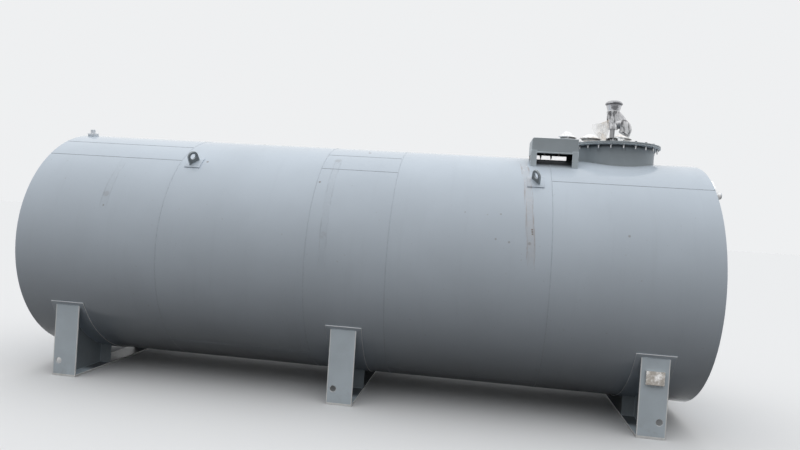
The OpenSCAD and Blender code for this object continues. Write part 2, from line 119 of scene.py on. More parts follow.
class TankWeldSettings(bpy.types.PropertyGroup):
    """Weld beads."""

    seam_width: bpy.props.FloatProperty(
        name="Seam width", description="Width of the beads that join the shell courses",
        unit="LENGTH", min=0.004, max=0.03, default=0.013)
    seam_height: bpy.props.FloatProperty(
        name="Seam height", description="Height of these beads over the plate",
        unit="LENGTH", min=0.0005, max=0.006, default=0.0022)
    fillet_width: bpy.props.FloatProperty(
        name="Fillet width", description="Width of the corner welds",
        unit="LENGTH", min=0.003, max=0.02, default=0.009)
    ripple: bpy.props.FloatProperty(
        name="Ripple", description="Unevenness of the beads",
        subtype="FACTOR", min=0, max=0.6, default=0.22)


class TankBoltSettings(bpy.types.PropertyGroup):
    """Manhole bolts."""

    count: bpy.props.IntProperty(
        name="Count", description="Number of bolts on the circle", min=4, max=64, default=22)
    circle: bpy.props.FloatProperty(
        name="Circle radius", description="Radius of the bolt circle",
        unit="LENGTH", min=0.05, max=1, default=0.421)
    across: bpy.props.FloatProperty(
        name="Across flats", description="Width of the hexagon heads and nuts",
        unit="LENGTH", min=0.01, max=0.06, default=0.020)
    tail: bpy.props.FloatProperty(
        name="Tail", description="Length of the thread that stands out under the nut",
        unit="LENGTH", min=0.002, max=0.08, default=0.024)


class TankFilmSettings(bpy.types.PropertyGroup):
    """Packing film."""

    wrinkle: bpy.props.FloatProperty(
        name="Wrinkle", description="Depth of the folds in the film",
        unit="LENGTH", min=0, max=0.02, default=0.006)
    thickness: bpy.props.FloatProperty(
        name="Thickness", description="Thickness of the folded film",
        unit="LENGTH", min=0.0002, max=0.003, default=0.0008)
    white: bpy.props.FloatVectorProperty(
        name="White film", description="Colour of the white film",
        subtype="COLOR", size=3, min=0, max=1, default=(0.93, 0.94, 0.95))


class TankStageSettings(bpy.types.PropertyGroup):
    """Floor, light and camera."""

    backdrop: bpy.props.FloatVectorProperty(
        name="Backdrop", description="Pale colour of the background",
        subtype="COLOR", size=3, min=0, max=1, default=(0.86, 0.87, 0.88))
    floor: bpy.props.FloatVectorProperty(
        name="Floor", description="Pale colour of the floor",
        subtype="COLOR", size=3, min=0, max=1, default=(0.73, 0.74, 0.75))
    bounce: bpy.props.FloatVectorProperty(
        name="Floor bounce", description="Colour of the floor for the light that it sends to the object",
        subtype="COLOR", size=3, min=0, max=1, default=(0.036, 0.034, 0.033))
    horizon: bpy.props.FloatProperty(
        name="Horizon", description="Strength of the soft light from the sides", min=0, max=3, default=0.0)
    zenith: bpy.props.FloatProperty(
        name="Zenith", description="Strength of the soft light from straight above",
        min=0, max=3, default=1.85)
    gather: bpy.props.FloatProperty(
        name="Gather", description="How closely the light gathers round the zenith",
        min=0.5, max=4, default=1.22)
    lens: bpy.props.FloatProperty(
        name="Lens", description="Focal length of the camera in millimetres", min=10, max=100, default=27.71)


# Node trees


class Nodes:
    """Builds a node tree. Each method adds nodes and gives an output."""

    # Sockets of a colour Mix node
    MIX_FACTOR, MIX_A, MIX_B, MIX_RESULT = 0, 6, 7, 2

    def __init__(self, tree):
        self.tree = tree

    def link(self, value, socket):
        """Links a value that is a socket, and writes any other into the input."""
        if isinstance(value, bpy.types.NodeSocket):
            self.tree.links.new(value, socket)
        else:
            socket.default_value = value

    def add(self, kind, settings=(), inputs=()):
        """Adds a node with its settings and inputs."""
        made = self.tree.nodes.new(kind)
        for key, value in dict(settings).items():
            setattr(made, key, value)
        for key, value in dict(inputs).items():
            self.link(value, made.inputs[key])
        return made

    def calc(self, operation, a, b=0.0, c=0.0):
        """Result of a Math node."""
        return self.add("ShaderNodeMath", {"operation": operation}, {0: a, 1: b, 2: c}).outputs[0]

    def product(self, value, *others):
        """Product of several values."""
        for other in others:
            value = self.calc("MULTIPLY", value, other)
        return value

    def vector(self, operation, a, b=(0, 0, 0)):
        """Result of a Vector Math node."""
        made = self.add("ShaderNodeVectorMath", {"operation": operation}, {0: a, 1: b})
        return made.outputs["Value" if operation in ("DOT_PRODUCT", "DISTANCE") else "Vector"]

    def split(self, vector):
        """The x, y and z of a vector."""
        return self.add("ShaderNodeSeparateXYZ", {}, {0: vector}).outputs

    def on_z(self, value):
        """A vector with the value as its z."""
        return self.add("ShaderNodeCombineXYZ", {}, {"Z": value}).outputs[0]

    def fade(self, value, low, high, to_low=0.0, to_high=1.0, smooth=True):
        """Result of a Map Range node that runs from one value to another."""
        settings = {"interpolation_type": "SMOOTHSTEP" if smooth else "LINEAR", "clamp": True}
        ends = {"Value": value, "From Min": low, "From Max": high, "To Min": to_low, "To Max": to_high}
        return self.add("ShaderNodeMapRange", settings, ends).outputs[0]

    def window(self, value, outer_low, low, high, outer_high):
        """1 between two values, falling softly to 0 at two outer values."""
        return self.product(self.fade(value, outer_low, low), self.fade(value, outer_high, high))

    def grain(self, place, scale, detail=3.0, rough=0.5, stretch=None):
        """Noise over a place, stretched along an axis where asked."""
        if stretch:
            place = self.add("ShaderNodeMapping", {}, {"Vector": place, "Scale": stretch}).outputs[0]
        inputs = {"Vector": place, "Scale": scale, "Detail": detail, "Roughness": rough}
        return self.add("ShaderNodeTexNoise", {}, inputs).outputs["Fac"]

    def mix(self, factor, a, b):
        """Mix of two colours."""
        made = self.add("ShaderNodeMix", {"data_type": "RGBA"}, {self.MIX_FACTOR: factor})
        for index, color in ((self.MIX_A, a), (self.MIX_B, b)):
            is_socket = isinstance(color, bpy.types.NodeSocket)
            self.link(color if is_socket else (*color, 1.0), made.inputs[index])
        return made.outputs[self.MIX_RESULT]

    def bump(self, height, distance, strength=1.0, normal=None):
        """Normal from a height in metres, over another normal where one is given."""
        inputs = {"Height": height, "Distance": distance, "Strength": strength}
        if normal is not None:
            inputs["Normal"] = normal
        return self.add("ShaderNodeBump", {}, inputs).outputs[0]


class Finish(Nodes):
    """A material with a Principled shader on Object coordinates, and the inputs that stay constant."""

    def __init__(self, name, constants=()):
        self.material = bpy.data.materials.new(name)
        self.material.use_nodes = True
        super().__init__(self.material.node_tree)
        self.inputs = self.tree.nodes["Principled BSDF"].inputs
        coordinates = self.add("ShaderNodeTexCoord").outputs
        self.place, self.facing = coordinates["Object"], coordinates["Normal"]
        for key, value in dict(constants).items():
            self.inputs[key].default_value = value

    def noise(self, scale, detail=3.0, rough=0.5, stretch=None):
        """Noise on Object coordinates."""
        return self.grain(self.place, scale, detail, rough, stretch)

    def done(self, **links):
        """Links the looks that are given. Gives the material."""
        sockets = {"tone": "Base Color", "rough": "Roughness", "normal": "Normal", "glow": "Emission Color",
                   "cover": "Alpha"}
        for key, value in links.items():
            self.tree.links.new(value, self.inputs[sockets[key]])
        return self.material


# Materials


def dark(color, share):
    """A colour times a share."""
    return tuple(c * share for c in color)


def worn_lit_edge(color):
    """Colour of the enamel on a plate's cut edges: paler where it is worn, and as a painted highlight."""
    return tuple(min(1.0, c * 1.5) for c in color)


STRAP_MARKS = (
    # x and its shift a degree in metres, half width, lowest and highest angle, strength, rust
    (-2.465, 0.00000, 0.034, 16, 50, 0.42, False),
    (-0.216, -0.00050, 0.032, -4, 62, 0.46, False),
    (1.690, -0.00130, 0.034, 3, 70, 0.62, True),
)
DIRT_SPOTS = (
    # x in metres, height angle, radius in metres, strength
    (-1.580, 49.9, 0.017, 0.95), (-0.355, 40.1, 0.015, 0.75), (0.021, 71.0, 0.022, 0.90),
    (1.395, 28.4, 0.012, 0.45), (1.360, 16.6, 0.013, 0.45), (1.480, 15.6, 0.014, 0.45),
    (1.070, 28.3, 0.012, 0.35), (2.520, 21.9, 0.016, 0.45), (1.678, 21.9, 0.012, 0.90),
    (1.680, 20.9, 0.012, 0.90), (1.682, 19.9, 0.011, 0.90), (1.660, 15.6, 0.020, 0.40),
    (-0.250, 57.5, 0.050, 0.22), (-0.226, 13.0, 0.045, 0.20), (-2.470, 26.0, 0.045, 0.22),
    (-2.462, 20.0, 0.014, 0.50),
)
DIRT, SPECK, SPLASH = (0.20, 0.16, 0.13), (0.30, 0.29, 0.27), (0.24, 0.21, 0.18)
RUST_FACE, RUST_RIM = (0.52, 0.50, 0.51), (0.36, 0.29, 0.27)


def shell_enamel(paint):
    """Glossy pale enamel with dust, runs, strap marks and spots, over slightly uneven plate, and painted
    shade under the hood.
    """
    finish = Finish("shell_enamel", {"Specular IOR Level": 0.34})
    color, gloss = paint.shell_color, paint.shell_roughness
    x, y, z = finish.split(finish.place)
    up = finish.calc("SUBTRACT", z, AXIS_Z)
    front = finish.calc("MULTIPLY", y, -1.0)
    angle = finish.calc("MULTIPLY", finish.calc("ARCTAN2", up, front), 180 / math.pi)

    cloud = finish.noise(scale=0.9, detail=4.0, rough=0.55)
    tone = finish.mix(finish.fade(cloud, 0.35, 0.68), dark(color, 0.965), dark(color, 1.03))
    runs = finish.noise(scale=1.0, detail=5.0, rough=0.6, stretch=(9.0, 1.0, 0.7))
    tone = finish.mix(finish.fade(runs, 0.52, 0.75, 0.0, 0.10), tone, dark(color, 0.72))
    specks = finish.noise(scale=38.0, detail=2.0)
    tone = finish.mix(finish.fade(specks, 0.72, 0.80, 0.0, 0.35), tone, SPECK)
    worn = finish.noise(scale=14.0, detail=4.0, rough=0.65)
    tone, marks = strap_marks(finish, tone, color, x, y, angle, worn)
    tone = dirt_spots(finish, tone, worn)
    shaded = hood_shade_mask(finish, x, y, up)
    # Painted shade: the shell under the hood is darkened as if in the hood's shadow
    tone = finish.mix(shaded, tone, dark(color, 0.09))

    rough = finish.fade(cloud, 0.3, 0.7, gloss * 0.85, gloss * 1.25)
    for zone, rise in ((marks, 0.22), (shaded, 0.75)):
        rough = finish.calc("MULTIPLY_ADD", zone, rise, rough)
    waves = finish.bump(finish.noise(scale=1.6, detail=1.0, rough=0.4), 0.010, 0.25)
    peel = finish.bump(finish.noise(scale=160.0, detail=2.0), 0.0003, 0.15, waves)
    return finish.done(tone=tone, rough=rough, normal=peel)


def strap_marks(finish, tone, color, x, y, angle, worn):
    """Bands that straps have worn on the front, with darker rims. Gives the tone and where the bands are."""
    streak = finish.noise(scale=1.0, detail=4.0, rough=0.7, stretch=(60.0, 6.0, 6.0))
    on_front, broken = finish.fade(y, -0.2, -0.5), finish.fade(streak, 0.42, 0.62)
    patchy = finish.fade(worn, 0.25, 0.7, 0.3, 1.0)
    marks, end = 0.0, 8  # the marks fade out over the last degrees
    for x_front, shift, half, low, high, strength, rust in STRAP_MARKS:
        centre = finish.calc("MULTIPLY_ADD", angle, shift, x_front)
        off = finish.calc("ABSOLUTE", finish.calc("SUBTRACT", x, centre))
        band = finish.fade(off, half, half * 0.72)
        edge = finish.window(off, half * 0.55, half * 0.95, half * 1.02, half * 1.35)
        span = finish.product(finish.window(angle, low, low + end, high - end, high), on_front)
        face = finish.product(band, span, patchy)
        rim = finish.product(edge, span, broken)
        face_tone, rim_tone = (RUST_FACE, RUST_RIM) if rust else (dark(color, 0.80), dark(color, 0.62))
        tone = finish.mix(finish.product(face, strength * 0.6), tone, face_tone)
        tone = finish.mix(finish.product(rim, strength), tone, rim_tone)
        marks = finish.calc("MAXIMUM", marks, face)
    return tone, marks


def dirt_spots(finish, tone, worn):
    """Spots of dirt with ragged rims."""
    ragged = finish.fade(worn, 0.25, 0.50)
    for x, angle, radius, strength in DIRT_SPOTS:
        far = finish.vector("DISTANCE", finish.place, tuple(on_tank(x, angle)))
        near = finish.product(finish.fade(far, radius, radius * 0.35), ragged, strength)
        tone = finish.mix(near, tone, DIRT)
    return tone


def hood_shade_mask(finish, x, y, up):
    """Mask of painted shade: 1 on the shell under the hood, where no sky is seen, and 0 elsewhere."""
    low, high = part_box("hood_cap")
    soft = 0.03
    along = finish.window(x, low.x, low.x + soft, high.x - soft, high.x)
    across = finish.window(y, low.y - 0.025, low.y + 0.110, high.y, high.y + 0.010)
    return finish.product(along, across, finish.fade(up, 0.9, 1.0))


def frame_enamel(name, color, rough, shade=None, specular=0.3, borders=None, painted_shade_from=None):
    """Semi-gloss enamel with a little dirt towards the ground.

    The shade is a painted shadow: the heights where it starts and where it is full, and how dark it gets.
    Borders are the two sides along x where the paint is paler, as wear and as a painted highlight. The last
    place, along y on both sides of the middle, is where painted shade starts to darken towards the middle.
    """
    finish = Finish(name, {"Specular IOR Level": specular})
    x, y, height = finish.split(finish.place)
    cloud = finish.noise(scale=3.0, detail=4.0, rough=0.55)
    tone = finish.mix(finish.fade(cloud, 0.35, 0.68), dark(color, 0.94), dark(color, 1.05))
    patches = finish.fade(finish.noise(scale=16.0, detail=5.0, rough=0.6), 0.45, 0.70)
    tone = finish.mix(finish.product(finish.fade(height, 0.28, 0.0), patches, 0.14), tone, SPLASH)
    specks = finish.fade(finish.noise(scale=60.0, detail=2.0), 0.72, 0.80, 0.0, 0.4)
    tone = finish.mix(specks, tone, dark(color, 0.55))
    # Painted shadow: the enamel darkens between two heights, as under the manhole flange
    if shade:
        unshaded_height, shaded_height, share = shade
        tone = finish.mix(finish.fade(height, unshaded_height, shaded_height), tone, dark(color, share))
    # Paler borders: worn paint, and a painted highlight on the lit edges
    if borders:
        off = [finish.calc("ABSOLUTE", finish.calc("SUBTRACT", x, side)) for side in borders]
        tone = finish.mix(finish.fade(finish.calc("MINIMUM", *off), 0.010, 0.006), tone, worn_lit_edge(color))
    # Painted shade: the enamel darkens towards the middle along y, as in the shaded pockets of a saddle
    if painted_shade_from:
        inwards = finish.fade(finish.calc("ABSOLUTE", y), painted_shade_from, painted_shade_from - 0.15)
        tone = finish.mix(inwards, tone, dark(color, 0.16))
    waves = finish.bump(finish.noise(scale=6.0, detail=2.0, rough=0.4), 0.002, 0.3)
    peel = finish.bump(finish.noise(scale=220.0, detail=2.0), 0.0003, 0.3, waves)
    return finish.done(tone=tone, rough=finish.fade(cloud, 0.3, 0.7, rough * 0.85, rough * 1.2), normal=peel)


def weld_enamel(name, color):
    """Enamel over a rippled weld bead."""
    finish = Finish(name, {"Specular IOR Level": 0.36})
    ripple = finish.noise(scale=190.0, detail=2.0)
    tone = finish.mix(finish.fade(ripple, 0.35, 0.65), dark(color, 0.66), dark(color, 0.84))
    rough = finish.fade(ripple, 0.3, 0.7, 0.22, 0.42)
    return finish.done(tone=tone, rough=rough, normal=finish.bump(ripple, 0.0008, 0.6))


def bare_metal(name, color, smoothest, roughest, brushed=(1.0, 1.0, 1.0), scale=60.0):
    """Bare steel with a brushed or dulled grain."""
    finish = Finish(name, {"Metallic": 1.0})
    brush = finish.noise(scale, detail=4.0, rough=0.6, stretch=brushed)
    cloud = finish.noise(scale=9.0)
    tone = finish.mix(finish.fade(cloud, 0.3, 0.7), dark(color, 0.82), dark(color, 1.04))
    rough = finish.fade(brush, 0.3, 0.7, smoothest, roughest)
    return finish.done(tone=tone, rough=rough, normal=finish.bump(brush, 0.0003, 0.5))


def painted_reflection_steel(name, bright, deep, rough):
    """Polished steel with a painted reflection: pale where it faces up, deep where it faces down, with
    streaks between.
    """
    finish = Finish(name, {"Metallic": 1.0})
    streak = finish.grain(finish.facing, scale=2.6, rough=0.6)
    spots = finish.noise(scale=26.0, rough=0.6)
    up = finish.split(finish.facing)[2]
    streaks = finish.calc("ADD", streak, finish.product(spots, 0.7))
    level = finish.calc("ADD", finish.product(up, 0.55), streaks)
    tone = finish.mix(finish.fade(level, 0.62, 1.02), deep, bright)
    rough = finish.fade(spots, 0.3, 0.7, rough * 0.7, rough * 1.4)
    return finish.done(tone=tone, rough=rough, normal=finish.bump(spots, 0.002, 0.4))


def cup_steel():
    """Breather cup steel: painted reflection dark between pale sides, painted shadow under the rim, pale
    foot.
    """
    finish = Finish("cup_steel", {"Metallic": 1.0})
    spots = finish.noise(scale=40.0, rough=0.6)
    # Painted reflection: dark where the cup faces front and back, pale at its sides
    frontal_reflection = finish.calc("ABSOLUTE", finish.split(finish.facing)[1])
    patchy = finish.calc("ADD", frontal_reflection, finish.calc("MULTIPLY_ADD", spots, 0.7, -0.35))
    tone = finish.mix(finish.fade(patchy, 0.72, 0.98), (0.60, 0.60, 0.62), (0.17, 0.17, 0.18))
    low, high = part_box("breather_cup")
    height = finish.split(finish.place)[2]
    rim = high.z - 0.038
    # Painted shadow: a dark line under the rim
    under = finish.window(height, rim - 0.026, rim - 0.012, rim - 0.004, rim + 0.003)
    tone = finish.mix(under, tone, (0.16, 0.16, 0.17))
    tone = finish.mix(finish.fade(height, low.z + 0.020, low.z + 0.014), tone, (0.92, 0.92, 0.92))
    rough = finish.fade(spots, 0.3, 0.7, 0.14, 0.30)
    return finish.done(tone=tone, rough=rough, normal=finish.bump(spots, 0.001, 0.4))


def black_rubber():
    """Black rubber with a dusty bloom and painted glints."""
    finish = Finish("black_rubber")
    bloom = finish.noise(scale=45.0, detail=4.0, rough=0.6)
    tone = finish.mix(finish.fade(bloom, 0.45, 0.75), (0.014, 0.014, 0.016), (0.050, 0.048, 0.046))
    # Painted highlight: pale glints on the rubber
    painted_glint = finish.fade(finish.noise(scale=34.0, detail=2.0, stretch=(1.0, 1.0, 1.6)), 0.55, 0.61)
    tone = finish.mix(painted_glint, tone, (0.78, 0.79, 0.81))
    grit = finish.bump(finish.noise(scale=260.0, detail=2.0), 0.0004, 0.5)
    return finish.done(tone=tone, rough=finish.fade(bloom, 0.3, 0.7, 0.42, 0.7), normal=grit)


def packing_film(name, color, shade, clear=0.0, tint_scale=16.0, rough=0.3, glow=0.0, crease=0.002,
                 brim=None, thin=None):
    """Crumpled packing film: creased, glossy, and partly clear where asked.

    It has a painted glow. Under a brim's height the film is in the shade tone as painted shade, darkest
    right under the brim as a painted shadow. A thin film fades out between two places along x.
    """
    # Painted glow: the film shines as if lit
    finish = Finish(name, {"Emission Strength": glow})
    cells = finish.add("ShaderNodeTexVoronoi", {"feature": "DISTANCE_TO_EDGE"},
                       {"Vector": finish.place, "Scale": 42.0}).outputs["Distance"]
    warp = finish.noise(tint_scale, detail=4.0, rough=0.6)
    x, _, height = finish.split(finish.place)
    tone = finish.mix(finish.fade(warp, 0.42, 0.72), color, shade)
    # Painted shade under the brim, with a painted shadow right under it
    if brim:
        tone = finish.mix(finish.fade(height, brim + 0.003, brim - 0.004, 0.0, 0.7), tone, dark(shade, 0.85))
        brim_shadow = finish.window(height, brim - 0.022, brim - 0.012, brim - 0.005, brim)
        brim_shadow = finish.product(brim_shadow, finish.fade(warp, 0.36, 0.50))
        tone = finish.mix(brim_shadow, tone, (0.12, 0.11, 0.10))
    folds = finish.bump(finish.fade(cells, 0.0, 0.25, smooth=False), crease, 0.35)
    folds = finish.bump(finish.noise(scale=60.0, rough=0.6), crease * 0.5, 0.4, folds)
    rough = finish.fade(warp, 0.3, 0.7, rough * 0.7, rough * 1.4)
    if clear:
        wisps = finish.noise(scale=26.0, rough=0.55, stretch=(1.6, 1.6, 0.5))
        cover = finish.fade(wisps, 0.36, 0.66, 1.0 - clear, 1.0 - clear * 0.45)
        if thin:
            cover = finish.product(cover, finish.fade(x, thin[0], thin[1], 0.15, 1.0))
        finish.done(cover=cover)
    return finish.done(tone=tone, glow=tone, rough=rough, normal=folds)


def streaked_film(name, bright, deep, cover, pale_side, balance):
    """Film drawn tight over steel: slanting folds painted bright as highlights, with the dark steel between
    them.

    Past a pale side, given as two places along x, the film hangs loose and is paler. The balance is the
    share of dark between the folds.
    """
    # Painted glow on the film
    finish = Finish(name, {"Emission Strength": 0.12})
    slant = {"Vector": finish.place, "Rotation": (0.0, 0.65, 0.0), "Scale": (34.0, 30.0, 7.0)}
    folds = finish.grain(finish.add("ShaderNodeMapping", {}, slant).outputs[0], scale=1.0, rough=0.6)
    x = finish.split(finish.place)[0]
    folds = finish.calc("ADD", folds, finish.fade(x, *pale_side, 0.0, 0.13))
    tone = finish.mix(finish.fade(folds, balance - 0.06, balance + 0.06), deep, bright)
    return finish.done(tone=tone, glow=tone, cover=finish.fade(folds, 0.36, 0.54, cover * 0.6, cover),
                       rough=finish.fade(folds, 0.3, 0.7, 0.24, 0.12), normal=finish.bump(folds, 0.006, 0.5))


# Mesh helpers


def finish_piece(piece, materials, slot, *replaced):
    """Puts a piece on the tank's body with its materials, and hides the nodes that it stands for. The slot
    is not used.
    """
    places = [0] * len(piece.data.polygons)
    piece.data.polygons.foreach_get("material_index", places)
    piece.data.materials.clear()
    for material in materials if isinstance(materials, tuple) else (materials,):
        piece.data.materials.append(material)
    piece.data.polygons.foreach_set("material_index", places)
    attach(piece, "root")
    if replaced:
        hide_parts(*replaced)
    return piece


def finish_nodes(nodes, material):
    """Gives CAD nodes that stay as they are their material."""
    for node in nodes:
        NODES[node].data.materials.clear()
        NODES[node].data.materials.append(material)


def new_object(name, data):
    """A new object in the scene."""
    made = bpy.data.objects.new(name, data)
    bpy.context.scene.collection.objects.link(made)
    return made


def mesh_object(name, verts, faces, smooth=True):
    """A new object from lists of points and faces."""
    mesh = bpy.data.meshes.new(name)
    mesh.from_pydata([tuple(v) for v in verts], [], faces)
    mesh.validate()
    if smooth:
        mesh.shade_smooth()
    return new_object(name, mesh)


def outward(mesh):
    """Turns the faces of closed shapes outwards and shades them smoothly."""
    bm = bmesh.new()
    bm.from_mesh(mesh)
    bmesh.ops.recalc_face_normals(bm, faces=bm.faces)
    bm.to_mesh(mesh)
    bm.free()
    mesh.shade_smooth()


def apply_modifiers(piece, name):
    """Makes an object a plain mesh that holds what its modifiers did. Gives the mesh."""
    graph = bpy.context.evaluated_depsgraph_get()
    ready = piece.evaluated_get(graph)
    done = bpy.data.meshes.new_from_object(ready, preserve_all_data_layers=True, depsgraph=graph)
    done.name = name
    piece.modifiers.clear()
    piece.data = done
    return done


# Distance of doubled points, area of a large face, and angles of a flat joint, a sharp edge, a rounded one
DOUBLES, LARGE_FACE = 0.00002, 0.0015
COPLANAR, SHARP, BEVELLED = math.radians(0.4), math.radians(35), math.radians(40)


def round_edges(node, width, segments=2, edge_slot=-1, flat=True):
    """A copy of a CAD node with its doubles merged, its flat faces joined and its sharp edges rounded.

    Where flat is set, the large faces are planes and are shaded as planes.
    """
    mesh = NODES[node].data.copy()
    bm = bmesh.new()
    bm.from_mesh(mesh)
    bmesh.ops.remove_doubles(bm, verts=bm.verts, dist=DOUBLES)
    bmesh.ops.dissolve_limit(bm, angle_limit=COPLANAR, verts=bm.verts, edges=bm.edges)
    bm.to_mesh(mesh)
    bm.free()
    piece = new_object(node + "_dressed", mesh)
    while len(mesh.materials) <= edge_slot:
        mesh.materials.append(None)
    bevel = piece.modifiers.new("Edge round", "BEVEL")
    bevel.width = width
    bevel.segments = segments
    bevel.limit_method = "ANGLE"
    bevel.angle_limit = BEVELLED
    bevel.use_clamp_overlap = True
    bevel.material = edge_slot
    done = apply_modifiers(piece, node + "_dressed")
    bpy.data.meshes.remove(mesh)
    if "custom_normal" in done.attributes:
        done.attributes.remove(done.attributes["custom_normal"])
    done.shade_smooth()
    done.set_sharp_from_angle(angle=SHARP)
    for face in done.polygons:
        face.use_smooth = not (flat and face.area > LARGE_FACE)
    return piece


def turn_angles(count):
    """Angles of a full turn, in radians."""
    return [2 * math.pi * j / count for j in range(count)]


def sheet_faces(rows, cols, turned=False):
    """Faces between the points of a sheet, row by row, and the other way round where turned."""
    faces = []
    for i in range(rows):
        for j in range(cols):
            a = i * (cols + 1) + j
            face = (a, a + cols + 1, a + cols + 2, a + 1)
            faces.append(face[:1] + face[:0:-1] if turned else face)
    return faces


def smooth_point(points, share):
    """Point of a smooth curve through a few points, at a share of its way."""
    at = share * (len(points) - 1)
    i = min(int(at), len(points) - 2)
    t = at - i
    near = [points[min(max(k, 0), len(points) - 1)] for k in (i - 1, i, i + 1, i + 2)]

    def curve(p, q, r, w):
        bend, twist = 2 * p - 5 * q + 4 * r - w, 3 * q - p - 3 * r + w
        return 0.5 * (2 * q + (r - p) * t + bend * t * t + twist * t ** 3)

    return tuple(curve(*values) for values in zip(*near))


def thicken(piece, thickness):
    """Gives an open sheet its own thickness, with closed borders."""
    solid = piece.modifiers.new("Film thickness", "SOLIDIFY")
    solid.thickness = thickness
    solid.offset = -1.0
    apply_modifiers(piece, piece.name).shade_smooth()
    return piece


def film_skin(name, rings, thickness, closed_top=True):
    """A film skin from rings of points, the first at its top, with its own thickness inwards."""
    around = len(rings[0])
    verts = [p for ring in rings for p in ring]
    faces = []
    for first in range(0, around * (len(rings) - 1), around):
        for j in range(around):
            k = (j + 1) % around
            faces.append((first + j, first + k, first + around + k, first + around + j))
    if closed_top:
        verts.append(sum(rings[0], Vector()) / around)
        faces += [((j + 1) % around, j, len(verts) - 1) for j in range(around)]
    piece = mesh_object(name, verts, faces)
    outward(piece.data)
    return thicken(piece, thickness)


# Geometry Nodes


def geometry_tree(name, result, sockets):
    """A new tree with one result and named inputs. Gives the tree's builder and the inputs' values."""
    tree = bpy.data.node_groups.new(name, "GeometryNodeTree")
    tree.interface.new_socket(result, in_out="OUTPUT", socket_type="NodeSocketGeometry")
    for label, kind, default in sockets:
        socket = tree.interface.new_socket(label, in_out="INPUT", socket_type="NodeSocket" + kind)
        if default is not None:
            socket.default_value = default
    nodes = Nodes(tree)
    return nodes, nodes.add("NodeGroupInput").outputs


def from_tree(name, tree, values, source=None):
    """Runs a Geometry Nodes tree with named values and gives a plain mesh object."""
    piece = new_object(name, source) if source else mesh_object(name, [(0, 0, 0)], [], False)
    modifier = piece.modifiers.new("Nodes", "NODES")
    modifier.node_group = tree
    names = {item.name: item.identifier for item in tree.interface.items_tree if item.in_out == "INPUT"}
    for key, value in values.items():
        modifier[names[key]] = value
    apply_modifiers(piece, name)
    return piece


BEAD_SEED = 3.0


def bead_tree():
    """Geometry Nodes tree: a half round bead along every path, as wide and high as its points say."""
    nodes, given = geometry_tree("Weld beads", "Beads", (
        ("Paths", "Geometry", None), ("Ripple", "Float", 0.2), ("Seed", "Float", BEAD_SEED),
        ("Finish", "Material", None)))

    def named(name, kind="FLOAT"):
        found = nodes.add("GeometryNodeInputNamedAttribute", {"data_type": kind}, {"Name": name})
        return found.outputs["Attribute"]

    def scaled(vector, scale):
        made = nodes.add("ShaderNodeVectorMath", {"operation": "SCALE"}, {0: vector, "Scale": scale})
        return made.outputs["Vector"]

    place = nodes.add("GeometryNodeInputPosition").outputs[0]
    curve = nodes.add("GeometryNodeMeshToCurve", {}, {"Mesh": given["Paths"]}).outputs[0]
    up = named("bead_normal", "FLOAT_VECTOR")
    turned = nodes.add("GeometryNodeSetCurveNormal", {"mode": "FREE"}, {"Curve": curve, "Normal": up})
    marked = nodes.add("GeometryNodeStoreNamedAttribute", {"data_type": "FLOAT_VECTOR", "domain": "POINT"},
                       {"Geometry": turned.outputs[0], "Name": "bead_spine", "Value": place})
    arc = nodes.add("GeometryNodeCurveArc", {"mode": "RADIUS"}, {
        "Resolution": 5, "Radius": 1.0, "Start Angle": 0.0, "Sweep Angle": math.pi, "Connect Center": True})
    swept = nodes.add("GeometryNodeCurveToMesh", {}, {
        "Curve": marked.outputs[0], "Profile Curve": arc.outputs["Curve"], "Fill Caps": True}).outputs[0]

    spine = named("bead_spine", "FLOAT_VECTOR")
    rippled = {"Vector": spine, "W": given["Seed"], "Scale": 70.0, "Detail": 2.0, "Roughness": 0.7}
    ripples = nodes.add("ShaderNodeTexNoise", {"noise_dimensions": "4D"}, rippled).outputs["Fac"]
    swing = nodes.product(nodes.calc("MULTIPLY_ADD", ripples, 4.0, -2.0), given["Ripple"])
    uneven = nodes.calc("ADD", swing, 1.0)
    off = nodes.vector("SUBTRACT", place, spine)
    rise = nodes.vector("DOT_PRODUCT", off, up)
    aside = nodes.vector("SUBTRACT", off, scaled(up, rise))
    half = nodes.product(named("bead_width"), 0.5, uneven)
    lift = nodes.product(nodes.calc("MULTIPLY_ADD", rise, uneven, -0.12), named("bead_height"))
    moved = nodes.vector("ADD", nodes.vector("ADD", spine, scaled(aside, half)), scaled(up, lift))
    shaped = nodes.add("GeometryNodeSetPosition", {}, {"Geometry": swept, "Position": moved}).outputs[0]
    real = nodes.add("GeometryNodeRealizeInstances", {}, {0: shaped}).outputs[0]
    dressed = nodes.add("GeometryNodeSetMaterial", {}, {"Geometry": real, "Material": given["Finish"]})
    nodes.add("NodeGroupOutput", {}, {0: dressed.outputs[0]})
    return nodes.tree


